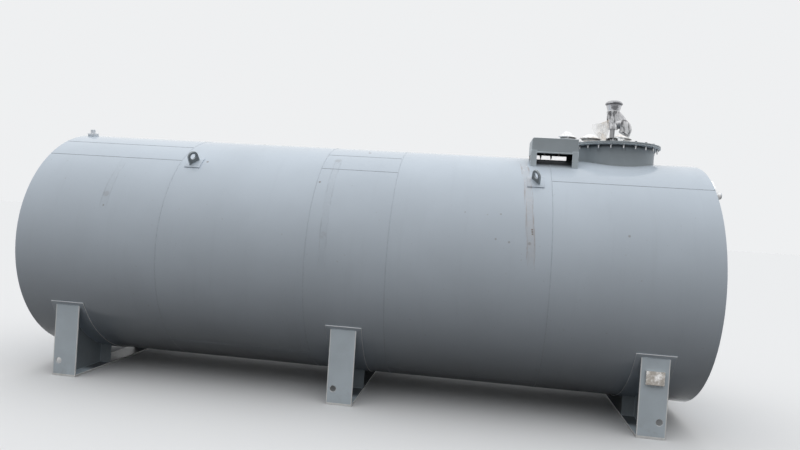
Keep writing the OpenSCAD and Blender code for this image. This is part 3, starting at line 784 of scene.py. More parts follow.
class BeadPaths:
    """Collects the paths of the weld beads, with the way up, the width and the height at each point."""

    def __init__(self):
        self.points, self.normals, self.sizes, self.edges = [], [], [], []

    def add(self, path, normals, width, height, closed=False):
        """Adds a path of points and normals."""
        first, count = len(self.points), len(path)
        self.points += path
        self.normals += normals
        self.sizes += [(width, height)] * count
        self.edges += [(first + i, first + i + 1) for i in range(count - 1)]
        if closed:
            self.edges.append((first + count - 1, first))

    def line(self, start, end, normal, width, height, step=0.012):
        """Adds a straight path with a point at each step."""
        start, end = Vector(start), Vector(end)
        count = max(3, int((end - start).length / step) + 1)
        path = [start.lerp(end, i / (count - 1)) for i in range(count)]
        self.add(path, [Vector(normal).normalized()] * count, width, height)

    def piece(self, name, ripple, material):
        """The mesh object of all the beads, with faces outwards."""
        mesh = bpy.data.meshes.new(name + "_paths")
        mesh.from_pydata([tuple(p) for p in self.points], self.edges, [])
        layers = (
            ("bead_normal", "FLOAT_VECTOR", "vector", [c for n in self.normals for c in n]),
            ("bead_width", "FLOAT", "value", [size[0] for size in self.sizes]),
            ("bead_height", "FLOAT", "value", [size[1] for size in self.sizes]),
        )
        for key, kind, field, values in layers:
            mesh.attributes.new(key, kind, "POINT").data.foreach_set(field, values)
        made = from_tree(name, bead_tree(), {"Ripple": ripple, "Seed": BEAD_SEED, "Finish": material}, mesh)
        for key in ("bead_normal", "bead_width", "bead_height", "bead_spine"):
            if key in made.data.attributes:
                made.data.attributes.remove(made.data.attributes[key])
        outward(made.data)
        return made


BOLT_SEED = 4
# Sizes of a bolt as shares of its width across flats
CORNER, WASHER, SHANK, NUT_H, HEAD_H = 1 / math.sqrt(3), 0.61, 0.33, 0.6, 0.42
WASHER_T = 0.003


def bolt_tree():
    """Geometry Nodes tree: bolts with washers, nuts and tails round a circle."""
    nodes, given = geometry_tree("Manhole bolts", "Geometry", (
        ("Count", "Int", 22), ("Circle radius", "Float", 0.421), ("Head seat", "Float", 0.0),
        ("Nut seat", "Float", 0.0), ("Across flats", "Float", 0.02), ("Tail", "Float", 0.024),
        ("Centre", "Vector", (0, 0, 0)),
        ("Seed", "Int", BOLT_SEED), ("Finish", "Material", None), ("Thread finish", "Material", None)))
    head, nut, tail, flats = given["Head seat"], given["Nut seat"], given["Tail"], given["Across flats"]

    def disc(sides, radius, depth, z_low, finish):
        """A cylinder of the given sides that stands on z_low."""
        shape = {"Vertices": sides, "Radius": radius, "Depth": depth}
        made = nodes.add("GeometryNodeMeshCylinder", {"fill_type": "NGON"}, shape).outputs["Mesh"]
        rise = nodes.on_z(nodes.calc("ADD", z_low, nodes.product(depth, 0.5)))
        stood = nodes.add("GeometryNodeTransform", {}, {"Geometry": made, "Translation": rise}).outputs[0]
        dressed = {"Geometry": stood, "Material": given[finish]}
        return nodes.add("GeometryNodeSetMaterial", {}, dressed).outputs[0]

    shares = (CORNER, WASHER, SHANK, NUT_H, HEAD_H)
    corner, washer, shank, nut_h, head_h = (nodes.product(flats, share) for share in shares)
    nut_low = nodes.calc("ADD", nut, nodes.product(nodes.calc("ADD", nut_h, WASHER_T), -1.0))
    tail_low = nodes.calc("ADD", nut_low, nodes.product(tail, -1.0))
    grip = nodes.calc("ADD", head, nodes.product(nut, -1.0))
    join = nodes.add("GeometryNodeJoinGeometry")
    for part in (
        disc(24, washer, WASHER_T, head, "Finish"),
        disc(6, corner, head_h, nodes.calc("ADD", head, WASHER_T), "Finish"),
        disc(24, washer, WASHER_T, nodes.calc("ADD", nut, -WASHER_T), "Finish"),
        disc(6, corner, nut_h, nut_low, "Finish"),
        disc(16, shank, tail, tail_low, "Thread finish"),
        disc(16, shank, grip, nut, "Thread finish"),
    ):
        nodes.tree.links.new(part, join.inputs[0])
    round_cover = {"Vertices": given["Count"], "Radius": given["Circle radius"]}
    circle = nodes.add("GeometryNodeMeshCircle", {"fill_type": "NONE"}, round_cover).outputs[0]
    half_pitch = nodes.on_z(nodes.calc("DIVIDE", math.pi, given["Count"]))
    placing = {"Geometry": circle, "Translation": given["Centre"], "Rotation": half_pitch}
    placed = nodes.add("GeometryNodeTransform", {}, placing).outputs[0]
    sixth_of_turn = {"Min": 0.0, "Max": 1.047, "Seed": given["Seed"]}
    spin = nodes.on_z(nodes.add("FunctionNodeRandomValue", {"data_type": "FLOAT"}, sixth_of_turn).outputs[1])
    copies = {"Points": placed, "Instance": join.outputs[0], "Rotation": spin}
    spun = nodes.add("GeometryNodeInstanceOnPoints", {}, copies).outputs[0]
    real = nodes.add("GeometryNodeRealizeInstances", {}, {0: spun}).outputs[0]
    nodes.add("NodeGroupOutput", {}, {0: real})
    return nodes.tree


# Enamel, welds and bolts


class TANK_OT_enamel(bpy.types.Operator):
    """Gives every plate its enamel and rounds the cut edges of the saddles, the manhole and the hood"""

    bl_idname = "tank.enamel"
    bl_label = "Enamel and plate edges"

    def execute(self, context):
        paint = context.scene.tank_paint
        shell = shell_enamel(paint)
        finish_nodes(["head_left", "head_right", "end_nipple", *COURSE_NAMES], shell)
        self.saddles(paint)
        self.fittings(paint, shell)
        return {"FINISHED"}

    def saddles(self, paint):
        """Enamels wear pads and saddles, with edges paler as wear and painted highlight, and painted shade
        on ribs and bases.
        """
        width, rough, color = paint.edge_round, paint.frame_roughness, tuple(paint.saddle_color)
        # Painted shade: the base plates darken towards their middle, and the webs and stiffeners are a
        # darker copy
        shaded_bases = frame_enamel("base_enamel", color, rough, painted_shade_from=0.82)
        # Paler edges: worn paint, and a painted highlight on the lit edges
        edges = frame_enamel("saddle_edge_enamel", worn_lit_edge(color), rough)
        shaded_ribs = frame_enamel("rib_enamel", dark(color, 0.48), rough)
        pads = frame_enamel("pad_enamel", dark(paint.shell_color, 0.94), paint.shell_roughness + 0.1)
        for side in SIDES:
            pad = round_edges(f"wear_pad_{side}", 0.002, edge_slot=1, flat=False)
            for face in pad.data.polygons:
                out = Vector((0, face.center.y, face.center.z - AXIS_Z)).normalized()
                if abs(face.normal.dot(out)) < 0.7:
                    face.material_index = 1
            finish_piece(pad, (pads, edges), "shell_paint", f"wear_pad_{side}")
            base = round_edges(f"base_plate_{side}", width, edge_slot=1)
            for face in base.data.polygons:
                if abs(face.normal.z) < 0.5:
                    face.material_index = 1
            finish_piece(base, (shaded_bases, edges), "frame_paint", f"base_plate_{side}")
            node = f"end_plates_{side}"
            low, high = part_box(node)
            plates = frame_enamel(f"saddle_enamel_{side}", color, rough, borders=(low.x, high.x))
            finish_piece(round_edges(node, width, edge_slot=1), (plates, edges), "frame_paint", node)
            for part in ("webs", "stiffeners"):
                node = f"{part}_{side}"
                finish_piece(round_edges(node, width), shaded_ribs, "frame_paint", node)

    def fittings(self, paint, shell):
        """Enamels the lugs, the boss, the manhole, the nozzles and the hood, some with painted light and
        shade.
        """
        rough, grey = paint.frame_roughness, tuple(paint.frame_color)
        frames = frame_enamel("frame_enamel", grey, rough)
        # Painted light: the boss on top is as pale as the sky lights it
        boss = frame_enamel("boss_enamel", (0.80, 0.84, 0.88), rough)
        # Painted shade: the lugs are a darker copy of the frame enamel, as their faces are in shade
        lugs = frame_enamel("lug_enamel", dark(grey, 0.62), rough)
        hood = frame_enamel("hood_enamel", dark(grey, 1.04), rough)
        # Painted light: the posts are a paler copy of the frame enamel, for the light that the shell sends
        # them
        lit_posts = frame_enamel("post_enamel", dark(grey, 1.30), rough)
        # Paler edges of the lugs, the manhole and the hood: worn paint, and a painted highlight
        edges = frame_enamel("hood_edge_enamel", dark(grey, 1.85), rough)
        # Painted shade: the inside of the hood is near black, as it lies in the hood's shadow
        hood_inner_shade = frame_enamel("hood_inside_primer", dark(grey, 0.05), rough, specular=0.1)
        # Painted shadow on the neck, under the flange
        flange_shadow = (FLANGE_LOW.z - 0.036, FLANGE_LOW.z - 0.012, 0.20)
        neck = frame_enamel("neck_enamel", dark(grey, 0.86), rough, shade=flange_shadow)
        for node, material in (("lug_doublers", shell), ("top_boss", boss)):
            finish_piece(round_edges(node, 0.002, flat=False), material, "shell_paint", node)
        for node, width, material, slot in (
            ("lifting_lugs", 0.003, lugs, "shell_paint"), ("manhole_flange", 0.0012, frames, "frame_paint"),
            ("manhole_cover", 0.0012, frames, "frame_paint"), ("hood_cap", 0.004, hood, "frame_paint"),
            ("hood_posts", 0.004, lit_posts, "frame_paint"),
        ):
            finish_piece(round_edges(node, width, edge_slot=1), (material, edges), slot, node)
        finish_nodes(("nozzle_a", "nozzle_b", "nozzle_c", "nozzle_blinds"), frames)
        finish_nodes(("hood_walls",), hood_inner_shade)
        finish_nodes(("manhole_neck",), neck)


# Plates of the tank, the pipe of a nozzle and the gap under a curved seat
PAD_T, END_PLATE_T, STIFFENER_T, NOZZLE_R, SEAT_GAP = 0.008, 0.012, 0.010, 0.0285, 0.0003
# Lengthways seams of each course: the height angles where they lie, on the front and on the back
LENGTHWAYS = ((50, 64, 230), (130, 310), (50, 64, 215), (130, 300), (50, 235))
# A corner bead's height as a share of its width, its lift off a curved plate, and how far it stops short
FILLET_RISE, LIFT, SHORT = 0.45, 0.0005, 0.004
# Widths of the beads round the neck, round a nozzle on the shell and round the pipes on the cover
NECK_BEAD, NOZZLE_BEAD, COVER_BEAD = 0.014, 0.009, 0.008


class TANK_OT_welds(bpy.types.Operator):
    """Lays the weld beads: shell seams, heads, wear pads, saddles and branches"""

    bl_idname = "tank.welds"
    bl_label = "Weld beads"

    def execute(self, context):
        weld, paint = context.scene.tank_welds, context.scene.tank_paint
        self.shell_seams(weld, paint)
        self.pad_welds(weld, paint)
        self.saddle_welds(weld, paint)
        self.branch_welds(weld, paint)
        return {"FINISHED"}

    def lay(self, beads, name, weld, finish, color, slot):
        """Makes one piece of the collected beads."""
        material = weld_enamel(finish, color)
        finish_piece(beads.piece(name, weld.ripple, material), material, slot)

    def shell_seams(self, weld, paint):
        """Beads round the courses, left out under the hood, along the courses and round the heads."""
        beads, lengthways = BeadPaths(), BeadPaths()
        turns = 600
        hood_low, hood_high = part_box("hood_walls")
        for x in SEAMS:
            covered = hood_low.x < x < hood_high.x
            first = math.degrees(math.acos(-hood_high.y / TANK_R)) if covered else 0.0
            last = math.degrees(math.acos(-hood_low.y / TANK_R)) + 360 if covered else 360 - 360 / turns
            angles = [first + (last - first) * i / (turns - 1) for i in range(turns)]
            path, normals = [on_tank(x, a) for a in angles], [tank_normal(a) for a in angles]
            beads.add(path, normals, weld.seam_width, weld.seam_height, not covered)
        for (low, high), angles in zip(COURSES, LENGTHWAYS):
            for angle in angles:
                start, end = on_tank(low.x + SHORT, angle), on_tank(high.x - SHORT, angle)
                lengthways.line(start, end, tank_normal(angle), weld.seam_width, weld.seam_height)
        angles = [360 * i / turns for i in range(turns)]
        for side in (-1, 1):
            path = [on_tank(side * HEAD_X, a, TANK_R - SHELL_T) for a in angles]
            normals = [(Vector((side, 0, 0)) - tank_normal(a)).normalized() for a in angles]
            beads.add(path, normals, weld.fillet_width, weld.fillet_width * 0.5, True)
        color = paint.shell_color
        self.lay(beads, "shell_weld_beads", weld, "seam_enamel", dark(color, 1.14), "shell_paint")
        self.lay(lengthways, "lengthways_weld_beads", weld, "lengthways_seam_enamel", dark(color, 0.72),
                 "shell_paint")

    def pad_welds(self, weld, paint):
        """Beads round the wear pads."""
        beads = BeadPaths()
        size, steps = weld.fillet_width, 220
        for side in SIDES:
            low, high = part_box(f"wear_pad_{side}")
            reach = math.degrees(math.asin(min(1.0, high.y / (TANK_R + PAD_T))))
            first, last = -90 - reach, -90 + reach
            angles = [first + (last - first) * i / steps for i in range(steps + 1)]
            for x, out in ((low.x, -1), (high.x, 1)):
                path = [on_tank(x, a, TANK_R + 0.001) for a in angles]
                normals = [(Vector((out, 0, 0)) + tank_normal(a)).normalized() for a in angles]
                beads.add(path, normals, size, size * FILLET_RISE)
            for a, turn in ((first, -90), (last, 90)):
                slope = (tank_normal(a) + tank_normal(a + turn)).normalized()
                beads.line(on_tank(low.x, a), on_tank(high.x, a), slope, size * 0.6, size * 0.2)
        self.lay(beads, "wear_pad_weld_beads", weld, "pad_weld_enamel", paint.shell_color, "shell_paint")

    def saddle_welds(self, weld, paint):
        """Beads between the plates of the saddles, and along the webs under the wear pads."""
        beads = BeadPaths()
        size, rise = weld.fillet_width, weld.fillet_width * FILLET_RISE
        pad_r, steps = TANK_R + PAD_T + SEAT_GAP, 60

        def pad_z(y):
            return AXIS_Z - math.sqrt(pad_r ** 2 - y ** 2) - LIFT

        for side in SIDES:
            base_low, base_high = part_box(f"base_plate_{side}")
            plates_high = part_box(f"end_plates_{side}")[1]
            web_low, web_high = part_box(f"webs_{side}")
            inner_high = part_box(f"stiffeners_{side}")[1]
            x0, x1, middle_x = base_low.x + SHORT, base_high.x - SHORT, (base_low.x + base_high.x) / 2
            floor, web_t = base_high.z, (web_high.x - web_low.x) / 2
            for sign in (-1, 1):
                outer, face = sign * plates_high.y, sign * (plates_high.y - END_PLATE_T)
                rib, rib_in = sign * inner_high.y, sign * (inner_high.y - STIFFENER_T)
                beads.line((x0, outer, pad_z(outer)), (x1, outer, pad_z(outer)), (0, sign, -0.4), size, rise)
                for y, out in ((face, -sign), (rib, sign), (rib_in, -sign)):
                    beads.line((x0, y, floor), (x1, y, floor), (0, out, 1), size, rise)
                for x in (middle_x - web_t, middle_x + web_t):
                    out = -1 if x < middle_x else 1
                    beads.line((x, face, floor), (x, rib, floor), (out, 0, 1), size, rise)
                    beads.line((x, face, floor), (x, face, pad_z(face)), (out, -sign, 0), size, rise)
                    beads.line((x, rib, floor), (x, rib, pad_z(rib)), (out, sign, 0), size, rise)
                    places = [rib + (face - rib) * i / steps for i in range(steps + 1)]
                    downs = [Vector((0, y, pad_z(y) - AXIS_Z)).normalized() for y in places]
                    normals = [(Vector((out, 0, 0)) + down).normalized() for down in downs]
                    beads.add([Vector((x, y, pad_z(y))) for y in places], normals, size, rise)
        color = dark(paint.saddle_color, 1.15)
        self.lay(beads, "saddle_weld_beads", weld, "saddle_weld_enamel", color, "frame_paint")

    def branch_welds(self, weld, paint):
        """Beads round the manhole's neck, the nozzles and the breather's riser."""
        beads = BeadPaths()

        def ring(spot, r, size, step, z=None):
            """A bead round a pipe that stands on the cover at height z, or else on the shell."""
            path, normals = [], []
            for a in turn_angles(max(24, int(2 * math.pi * r / step))):
                x, y = spot[0] + r * math.cos(a), spot[1] + r * math.sin(a)
                if z is None:
                    path.append(Vector((x, y, AXIS_Z + math.sqrt(TANK_R ** 2 - y ** 2) + LIFT)))
                    seat = Vector((0, y, path[-1].z - AXIS_Z)).normalized()
                else:
                    path.append(Vector((x, y, z)))
                    seat = Vector((0, 0, 1))
                normals.append((seat + Vector((math.cos(a), math.sin(a), 0))).normalized())
            beads.add(path, normals, size, size * FILLET_RISE, True)

        ring((MANHOLE_X, 0), NECK_R, NECK_BEAD, 0.010)
        ring(middle("nozzle_a"), NOZZLE_R, NOZZLE_BEAD, 0.010)
        riser_low, riser_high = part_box("breather_riser")
        for spot, r in ((middle("nozzle_b"), NOZZLE_R), (middle("nozzle_c"), NOZZLE_R),
                        (middle("breather_riser"), (riser_high.x - riser_low.x) / 2)):
            ring(spot, r, COVER_BEAD, 0.008, COVER_TOP)
        self.lay(beads, "branch_weld_beads", weld, "branch_weld_enamel", paint.frame_color, "frame_paint")


class TANK_OT_bolts(bpy.types.Operator):
    """Bolts the manhole cover to its flange"""

    bl_idname = "tank.bolts"
    bl_label = "Manhole bolts"

    def execute(self, context):
        bolts = context.scene.tank_bolts
        zinc = bare_metal("zinc_plate", (0.66, 0.67, 0.68), 0.28, 0.5, scale=120.0)
        nuts = bare_metal("dull_zinc_plate", (0.30, 0.31, 0.32), 0.35, 0.55, scale=120.0)
        piece = from_tree("manhole_bolts", bolt_tree(), {
            "Count": bolts.count, "Circle radius": bolts.circle, "Head seat": COVER_TOP,
            "Nut seat": FLANGE_LOW.z, "Across flats": bolts.across, "Tail": bolts.tail,
            "Centre": (MANHOLE_X, 0.0, 0.0), "Seed": BOLT_SEED, "Finish": nuts, "Thread finish": zinc,
        })
        piece.data.set_sharp_from_angle(angle=SHARP)
        finish_piece(piece, tuple(piece.data.materials), "stainless")
        return {"FINISHED"}


# Film


def moved_noise(vector, x=0.0, y=0.0, z=0.0):
    """Noise at a point that is moved aside, so that two noises of one point differ."""
    return noise.noise(vector + Vector((x, y, z)))


FLANGE_HALF = 0.0133  # half the height of a flange and its blind plate
# Points of a crown as shares of the rim and of the crown's height, and of a loose brim past the rim
CROWN = ((0.06, 1.0), (0.34, 0.97), (0.55, 0.74), (0.78, 0.34), (1.0, 0.05))
BRIM = ((0.50, 0.55), (1.0, 0.30), (0.80, 0.05), (0.15, -0.15), (0.05, -0.8))


def gathered_cap(joint, rim, brim, crown, hem, foot, wrinkle, seed, tilt):
    """Rings of a film cap over a flange pair: a crown, a loose brim and folds gathered to the hem.

    The joint is the middle of the flange pair, and the tilt is how far the cap sags towards +X.
    """
    half, steps = FLANGE_HALF, 16
    profile = []  # radius, height, how wild the folds are, how far out on the brim
    for i in range(steps):
        across, high = smooth_point(CROWN, i / (steps - 1))
        profile.append((rim * across, half + crown * high, 0.9, 0.0))
    profile += [(rim + brim * out, half * z, 0.5, out) for out, z in BRIM]
    for i in range(steps):
        t = (i + 1) / steps
        r, z = rim + 0.001 + (hem - rim) * t ** 0.55, -half + (foot + half) * t
        profile.append((r, z, 0.5 + 1.2 * t, 0.0))
    rings = []
    for r, z, wild, out in profile:
        ring = []
        share = min(1.0, r / rim + 0.2)
        for a in turn_angles(144):
            direction = Vector((math.cos(a), math.sin(a), 0))
            probe = direction * 4.0 + Vector((seed, seed * 0.7, z * 14))
            fold = abs(moved_noise(direction * 3.6, seed, 0, z * 5)) * 2.2 - 0.5
            push = wrinkle * wild * share * (fold + 0.6 * noise.noise(probe * 2.1))
            ragged = 0.9 * abs(math.cos(a)) ** 3 + 0.7 * moved_noise(direction * 1.7, 0, seed, 1)
            flare = out * brim * ragged
            lift = wrinkle * (0.8 if z > 0 else 0.3) * moved_noise(probe * 1.2, 7, 1, 0)
            sag = -tilt * math.cos(a) * share if z > -half else 0.0
            reach = max(0.004, r + max(-0.0005, push) + flare)
            ring.append(joint + direction * reach + Vector((0, 0, z + lift + sag)))
        rings.append(ring)
    return rings


class TANK_OT_nozzle_wraps(bpy.types.Operator):
    """Wraps the three flanged nozzles and the end nipple in white packing film"""

    bl_idname = "tank.nozzle_wraps"
    bl_label = "Nozzle film"

    # Flange radius, height of the crown, sag and painted shade tone under the brim of each cap
    CAPS = {
        "a": (0.070, 0.046, 0.006, (0.88, 0.87, 0.86)),
        "b": (0.088, 0.036, 0.003, (0.74, 0.68, 0.63)),
        "c": (0.070, 0.024, 0.012, (0.74, 0.68, 0.63)),
    }

    def execute(self, context):
        film = context.scene.tank_film
        for letter, (flange_r, crown, tilt, under) in self.CAPS.items():
            low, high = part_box(f"nozzle_wrap_{letter}")
            z = high.z - FLANGE_HALF - crown
            joint = Vector(((low.x + high.x) / 2, (low.y + high.y) / 2, z))
            rings = gathered_cap(joint, flange_r + 0.003, 0.011, crown, 0.033, low.z - z, film.wrinkle,
                                 3.0 + ord(letter) % 7, tilt)
            piece = film_skin(f"nozzle_{letter}_film", rings, film.thickness)
            # The film has a painted glow and painted shade under its brim
            white = packing_film(f"nozzle_{letter}_packing_film", film.white, under, rough=0.4, glow=0.18,
                                 crease=0.0016, brim=z + 0.002)
            finish_piece(piece, white, "white_film", f"nozzle_wrap_{letter}")
        self.nipple_cap(film)
        self.rim_strip(film)
        return {"FINISHED"}

    def nipple_cap(self, film):
        """Film tied over the nipple, rounded at its end."""
        low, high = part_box("end_nipple_wrap")
        axis = middle("end_nipple_wrap")
        r, steps = (high.y - low.y) / 2, 26
        rings = []
        for i in range(steps + 1):
            t = i / steps
            bulge = min(1.0, (t + 0.02) / 0.16) ** 0.5
            x = high.x - 0.002 - t * (high.x - low.x - 0.002)
            ring = []
            for a in turn_angles(72):
                direction = Vector((0, math.cos(a), math.sin(a)))
                fold = moved_noise(direction * 2.4, x * 30, 4) + 0.5 * moved_noise(direction * 6, x * 90)
                reach = r * bulge + film.wrinkle * 0.45 * fold * bulge
                ring.append(Vector((x, axis.y, axis.z)) + direction * reach)
            rings.append(ring)
        white = packing_film("white_packing_film", film.white, (0.74, 0.71, 0.68), rough=0.4, glow=0.14)
        cap = film_skin("end_nipple_film", rings, film.thickness)
        finish_piece(cap, white, "white_film", "end_nipple_wrap")

    def rim_strip(self, film):
        """Loose strip of film that runs up the right rim from the nipple."""
        rows, cols = 40, 8
        verts = []
        for i in range(rows + 1):
            v = i / rows
            for j in range(cols + 1):
                u = j / cols
                fold = noise.noise(Vector((v * 6, u * 2, 5)))
                width = 0.024 - 0.010 * v + 0.032 * max(0.0, 1.0 - v / 0.16)
                r = TANK_R + 0.004 - (0.034 * (1 - v) ** 2) * u + 0.004 * noise.noise(Vector((v * 9, u, 0)))
                angle = 50.0 + 7.0 * v + 0.15 * fold
                verts.append(on_tank(END_X - 0.004 + width * u + 0.003 * fold, angle, r + film.thickness))
        strip = mesh_object("end_nipple_film_tail", verts, sheet_faces(rows, cols, turned=True))
        white = packing_film("tail_film", film.white, (0.86, 0.87, 0.88), glow=0.35, crease=0.0008)
        finish_piece(thicken(strip, film.thickness), white, "white_film")


class TANK_OT_breather(bpy.types.Operator):
    """Finishes the breather: dulled steel, black clamp and the loose film around it"""

    bl_idname = "tank.breather"
    bl_label = "Breather and its film"

    # Edges of the loose sheets, in metres along x from the breather's axis and in height from the cover
    VEIL_NEAR = ((-0.047, 0.252), (-0.045, 0.190), (-0.041, 0.130), (-0.058, 0.070), (-0.066, 0.004))
    VEIL_FAR = ((-0.205, 0.200), (-0.198, 0.140), (-0.152, 0.085), (-0.112, 0.045), (-0.104, 0.004))
    SCRAP_NEAR = ((0.036, 0.086), (0.040, 0.062), (0.048, 0.030), (0.062, 0.004))
    SCRAP_FAR = ((0.118, 0.070), (0.124, 0.056), (0.132, 0.038), (0.140, 0.020))

    def execute(self, context):
        film = context.scene.tank_film
        self.metal()
        barrel_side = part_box("breather_body")[1].x
        tight = streaked_film("barrel_film", (0.86, 0.86, 0.88), (0.22, 0.22, 0.23), 0.86,
                              (barrel_side - 0.050, barrel_side - 0.010), 0.46)
        finish_piece(self.barrel_film(film), tight, "clear_film")
        bent = streaked_film("elbow_film", (0.86, 0.86, 0.87), (0.24, 0.24, 0.25), 0.80,
                             (barrel_side + 0.075, barrel_side + 0.115), 0.49)
        finish_piece(self.elbow_film(film), bent, "clear_film")
        axis = middle("breather_cup").x
        clear = packing_film("clear_packing_film", (0.88, 0.87, 0.86), (0.70, 0.62, 0.53), clear=0.64,
                             tint_scale=9.0, rough=0.2, glow=0.20, crease=0.0006,
                             thin=(axis - 0.205, axis - 0.110))
        veil = self.loose_sheet("breather_veil_film", self.VEIL_NEAR, self.VEIL_FAR, 0.030, film)
        finish_piece(veil, clear, "clear_film", "breather_wrap")
        white = packing_film("loose_packing_film", film.white, (0.80, 0.78, 0.76), clear=0.15,
                             tint_scale=14.0, glow=0.25, crease=0.0012)
        scrap = self.loose_sheet("clamp_loose_film", self.SCRAP_NEAR, self.SCRAP_FAR, 0.014, film)
        finish_piece(scrap, white, "clear_film")
        return {"FINISHED"}

    def metal(self):
        """Steel and rubber of the breather, and the rubber of the manhole's gasket."""
        # Painted reflection on the barrel and the elbow
        steel = painted_reflection_steel("breather_steel", (0.84, 0.84, 0.85), (0.20, 0.20, 0.21), 0.18)
        finish_nodes(("breather_riser",), bare_metal("riser_steel", (0.42, 0.42, 0.43), 0.30, 0.50))
        finish_nodes(("breather_body", "breather_elbow"), steel)
        finish_nodes(("breather_cup",), cup_steel())
        finish_nodes(("breather_clamp", "manhole_gasket"), black_rubber())

    def elbow_film(self, film):
        """Film drawn over the bent pipe, whose hem hangs past the mouth and leaves it open."""
        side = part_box("breather_body")[1].x
        low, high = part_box("breather_elbow")
        tube = (high.y - low.y) / 2
        bend = high.x - side - tube
        centre = Vector((side, (low.y + high.y) / 2, high.z - tube - bend))
        last, hem, steps = math.radians(114), 0.020, 56
        rings = []
        for i in range(steps + 1):
            way = (bend * last + hem) * i / steps
            turn = min(way / bend, last)
            past = max(0.0, way - bend * last)
            out = Vector((math.sin(turn), 0, math.cos(turn)))
            spine = centre + out * bend + Vector((math.cos(turn), 0, -math.sin(turn))) * past
            ring = []
            for a in turn_angles(96):
                direction = out * math.cos(a) + Vector((0, math.sin(a), 0))
                slant = Vector((math.cos(a + 3 * turn), math.sin(a + 3 * turn), 2.2 * turn + past * 20))
                fold = max(0.0, 0.7 * (abs(noise.noise(slant * 2.6)) * 2 - 0.2))
                loose = 0.0015 + film.wrinkle * fold * (0.4 + 0.6 * max(0.0, math.cos(a))) + 0.10 * past
                ring.append(spine + direction * (tube + loose))
            rings.append(ring)
        return film_skin("breather_elbow_film", rings, film.thickness, closed_top=False)

    def barrel_film(self, film):
        """Film round the barrel, drawn out like a tent over the bent pipe."""
        low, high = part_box("breather_body")
        cup = middle("breather_cup")
        barrel_r, steps = cup.x - low.x, 60
        top, foot, bend = high.z + 0.014, low.z + 0.060, high.z - 0.088
        rings = []
        for i in range(steps + 1):
            t = i / steps
            ring = []
            for a in turn_angles(160):
                direction = Vector((math.cos(a), math.sin(a), 0))
                right = max(0.0, math.cos(a)) ** (2 + 5 * t)
                z = top + ((foot + (bend - foot) * min(1.0, right * 1.8)) - top) * t
                r = barrel_r + 0.0075 - 0.004 * t + 0.094 * right * t
                slant = Vector((math.cos(a + 9 * z), math.sin(a + 9 * z), z * 3))
                fold = abs(noise.noise(slant * 3.0)) * 2 - 0.25
                fine = moved_noise(slant * 8.0, 3, 0, 1)
                push = film.wrinkle * max(-0.3, 0.8 * fold + 0.35 * fine)
                ring.append(Vector((cup.x, cup.y, z)) + direction * (r + push))
            rings.append(ring)
        return film_skin("breather_sleeve_film", rings, film.thickness, closed_top=False)

    def loose_sheet(self, name, near, far, ruffle, film):
        """Loose sheet of film between two edge curves."""
        cup = middle("breather_cup")
        rows, cols = 64, 56
        verts = []
        for i in range(rows + 1):
            v = i / rows
            (x0, z0), (x1, z1) = smooth_point(near, v), smooth_point(far, v)
            for j in range(cols + 1):
                u = j / cols
                x, z = x0 + (x1 - x0) * u, z0 + (z1 - z0) * u
                probe = Vector((x * 14, v * 3.0, z * 10))
                fold = noise.noise(Vector((u * 5 + v * 2, v * 2.2, 1.0))) + 0.5 * noise.noise(probe * 2.0)
                y = cup.y - 0.034 + 0.020 * u + ruffle * fold * (0.25 + u) * (1 - 0.5 * v)
                sag = -0.012 * math.sin(math.pi * u) * (1 - v)
                height = max(0.003, z + sag + 0.006 * noise.noise(probe * 1.3))
                verts.append((cup.x + x, y, COVER_TOP + height))
        return thicken(mesh_object(name, verts, sheet_faces(rows, cols)), film.thickness)


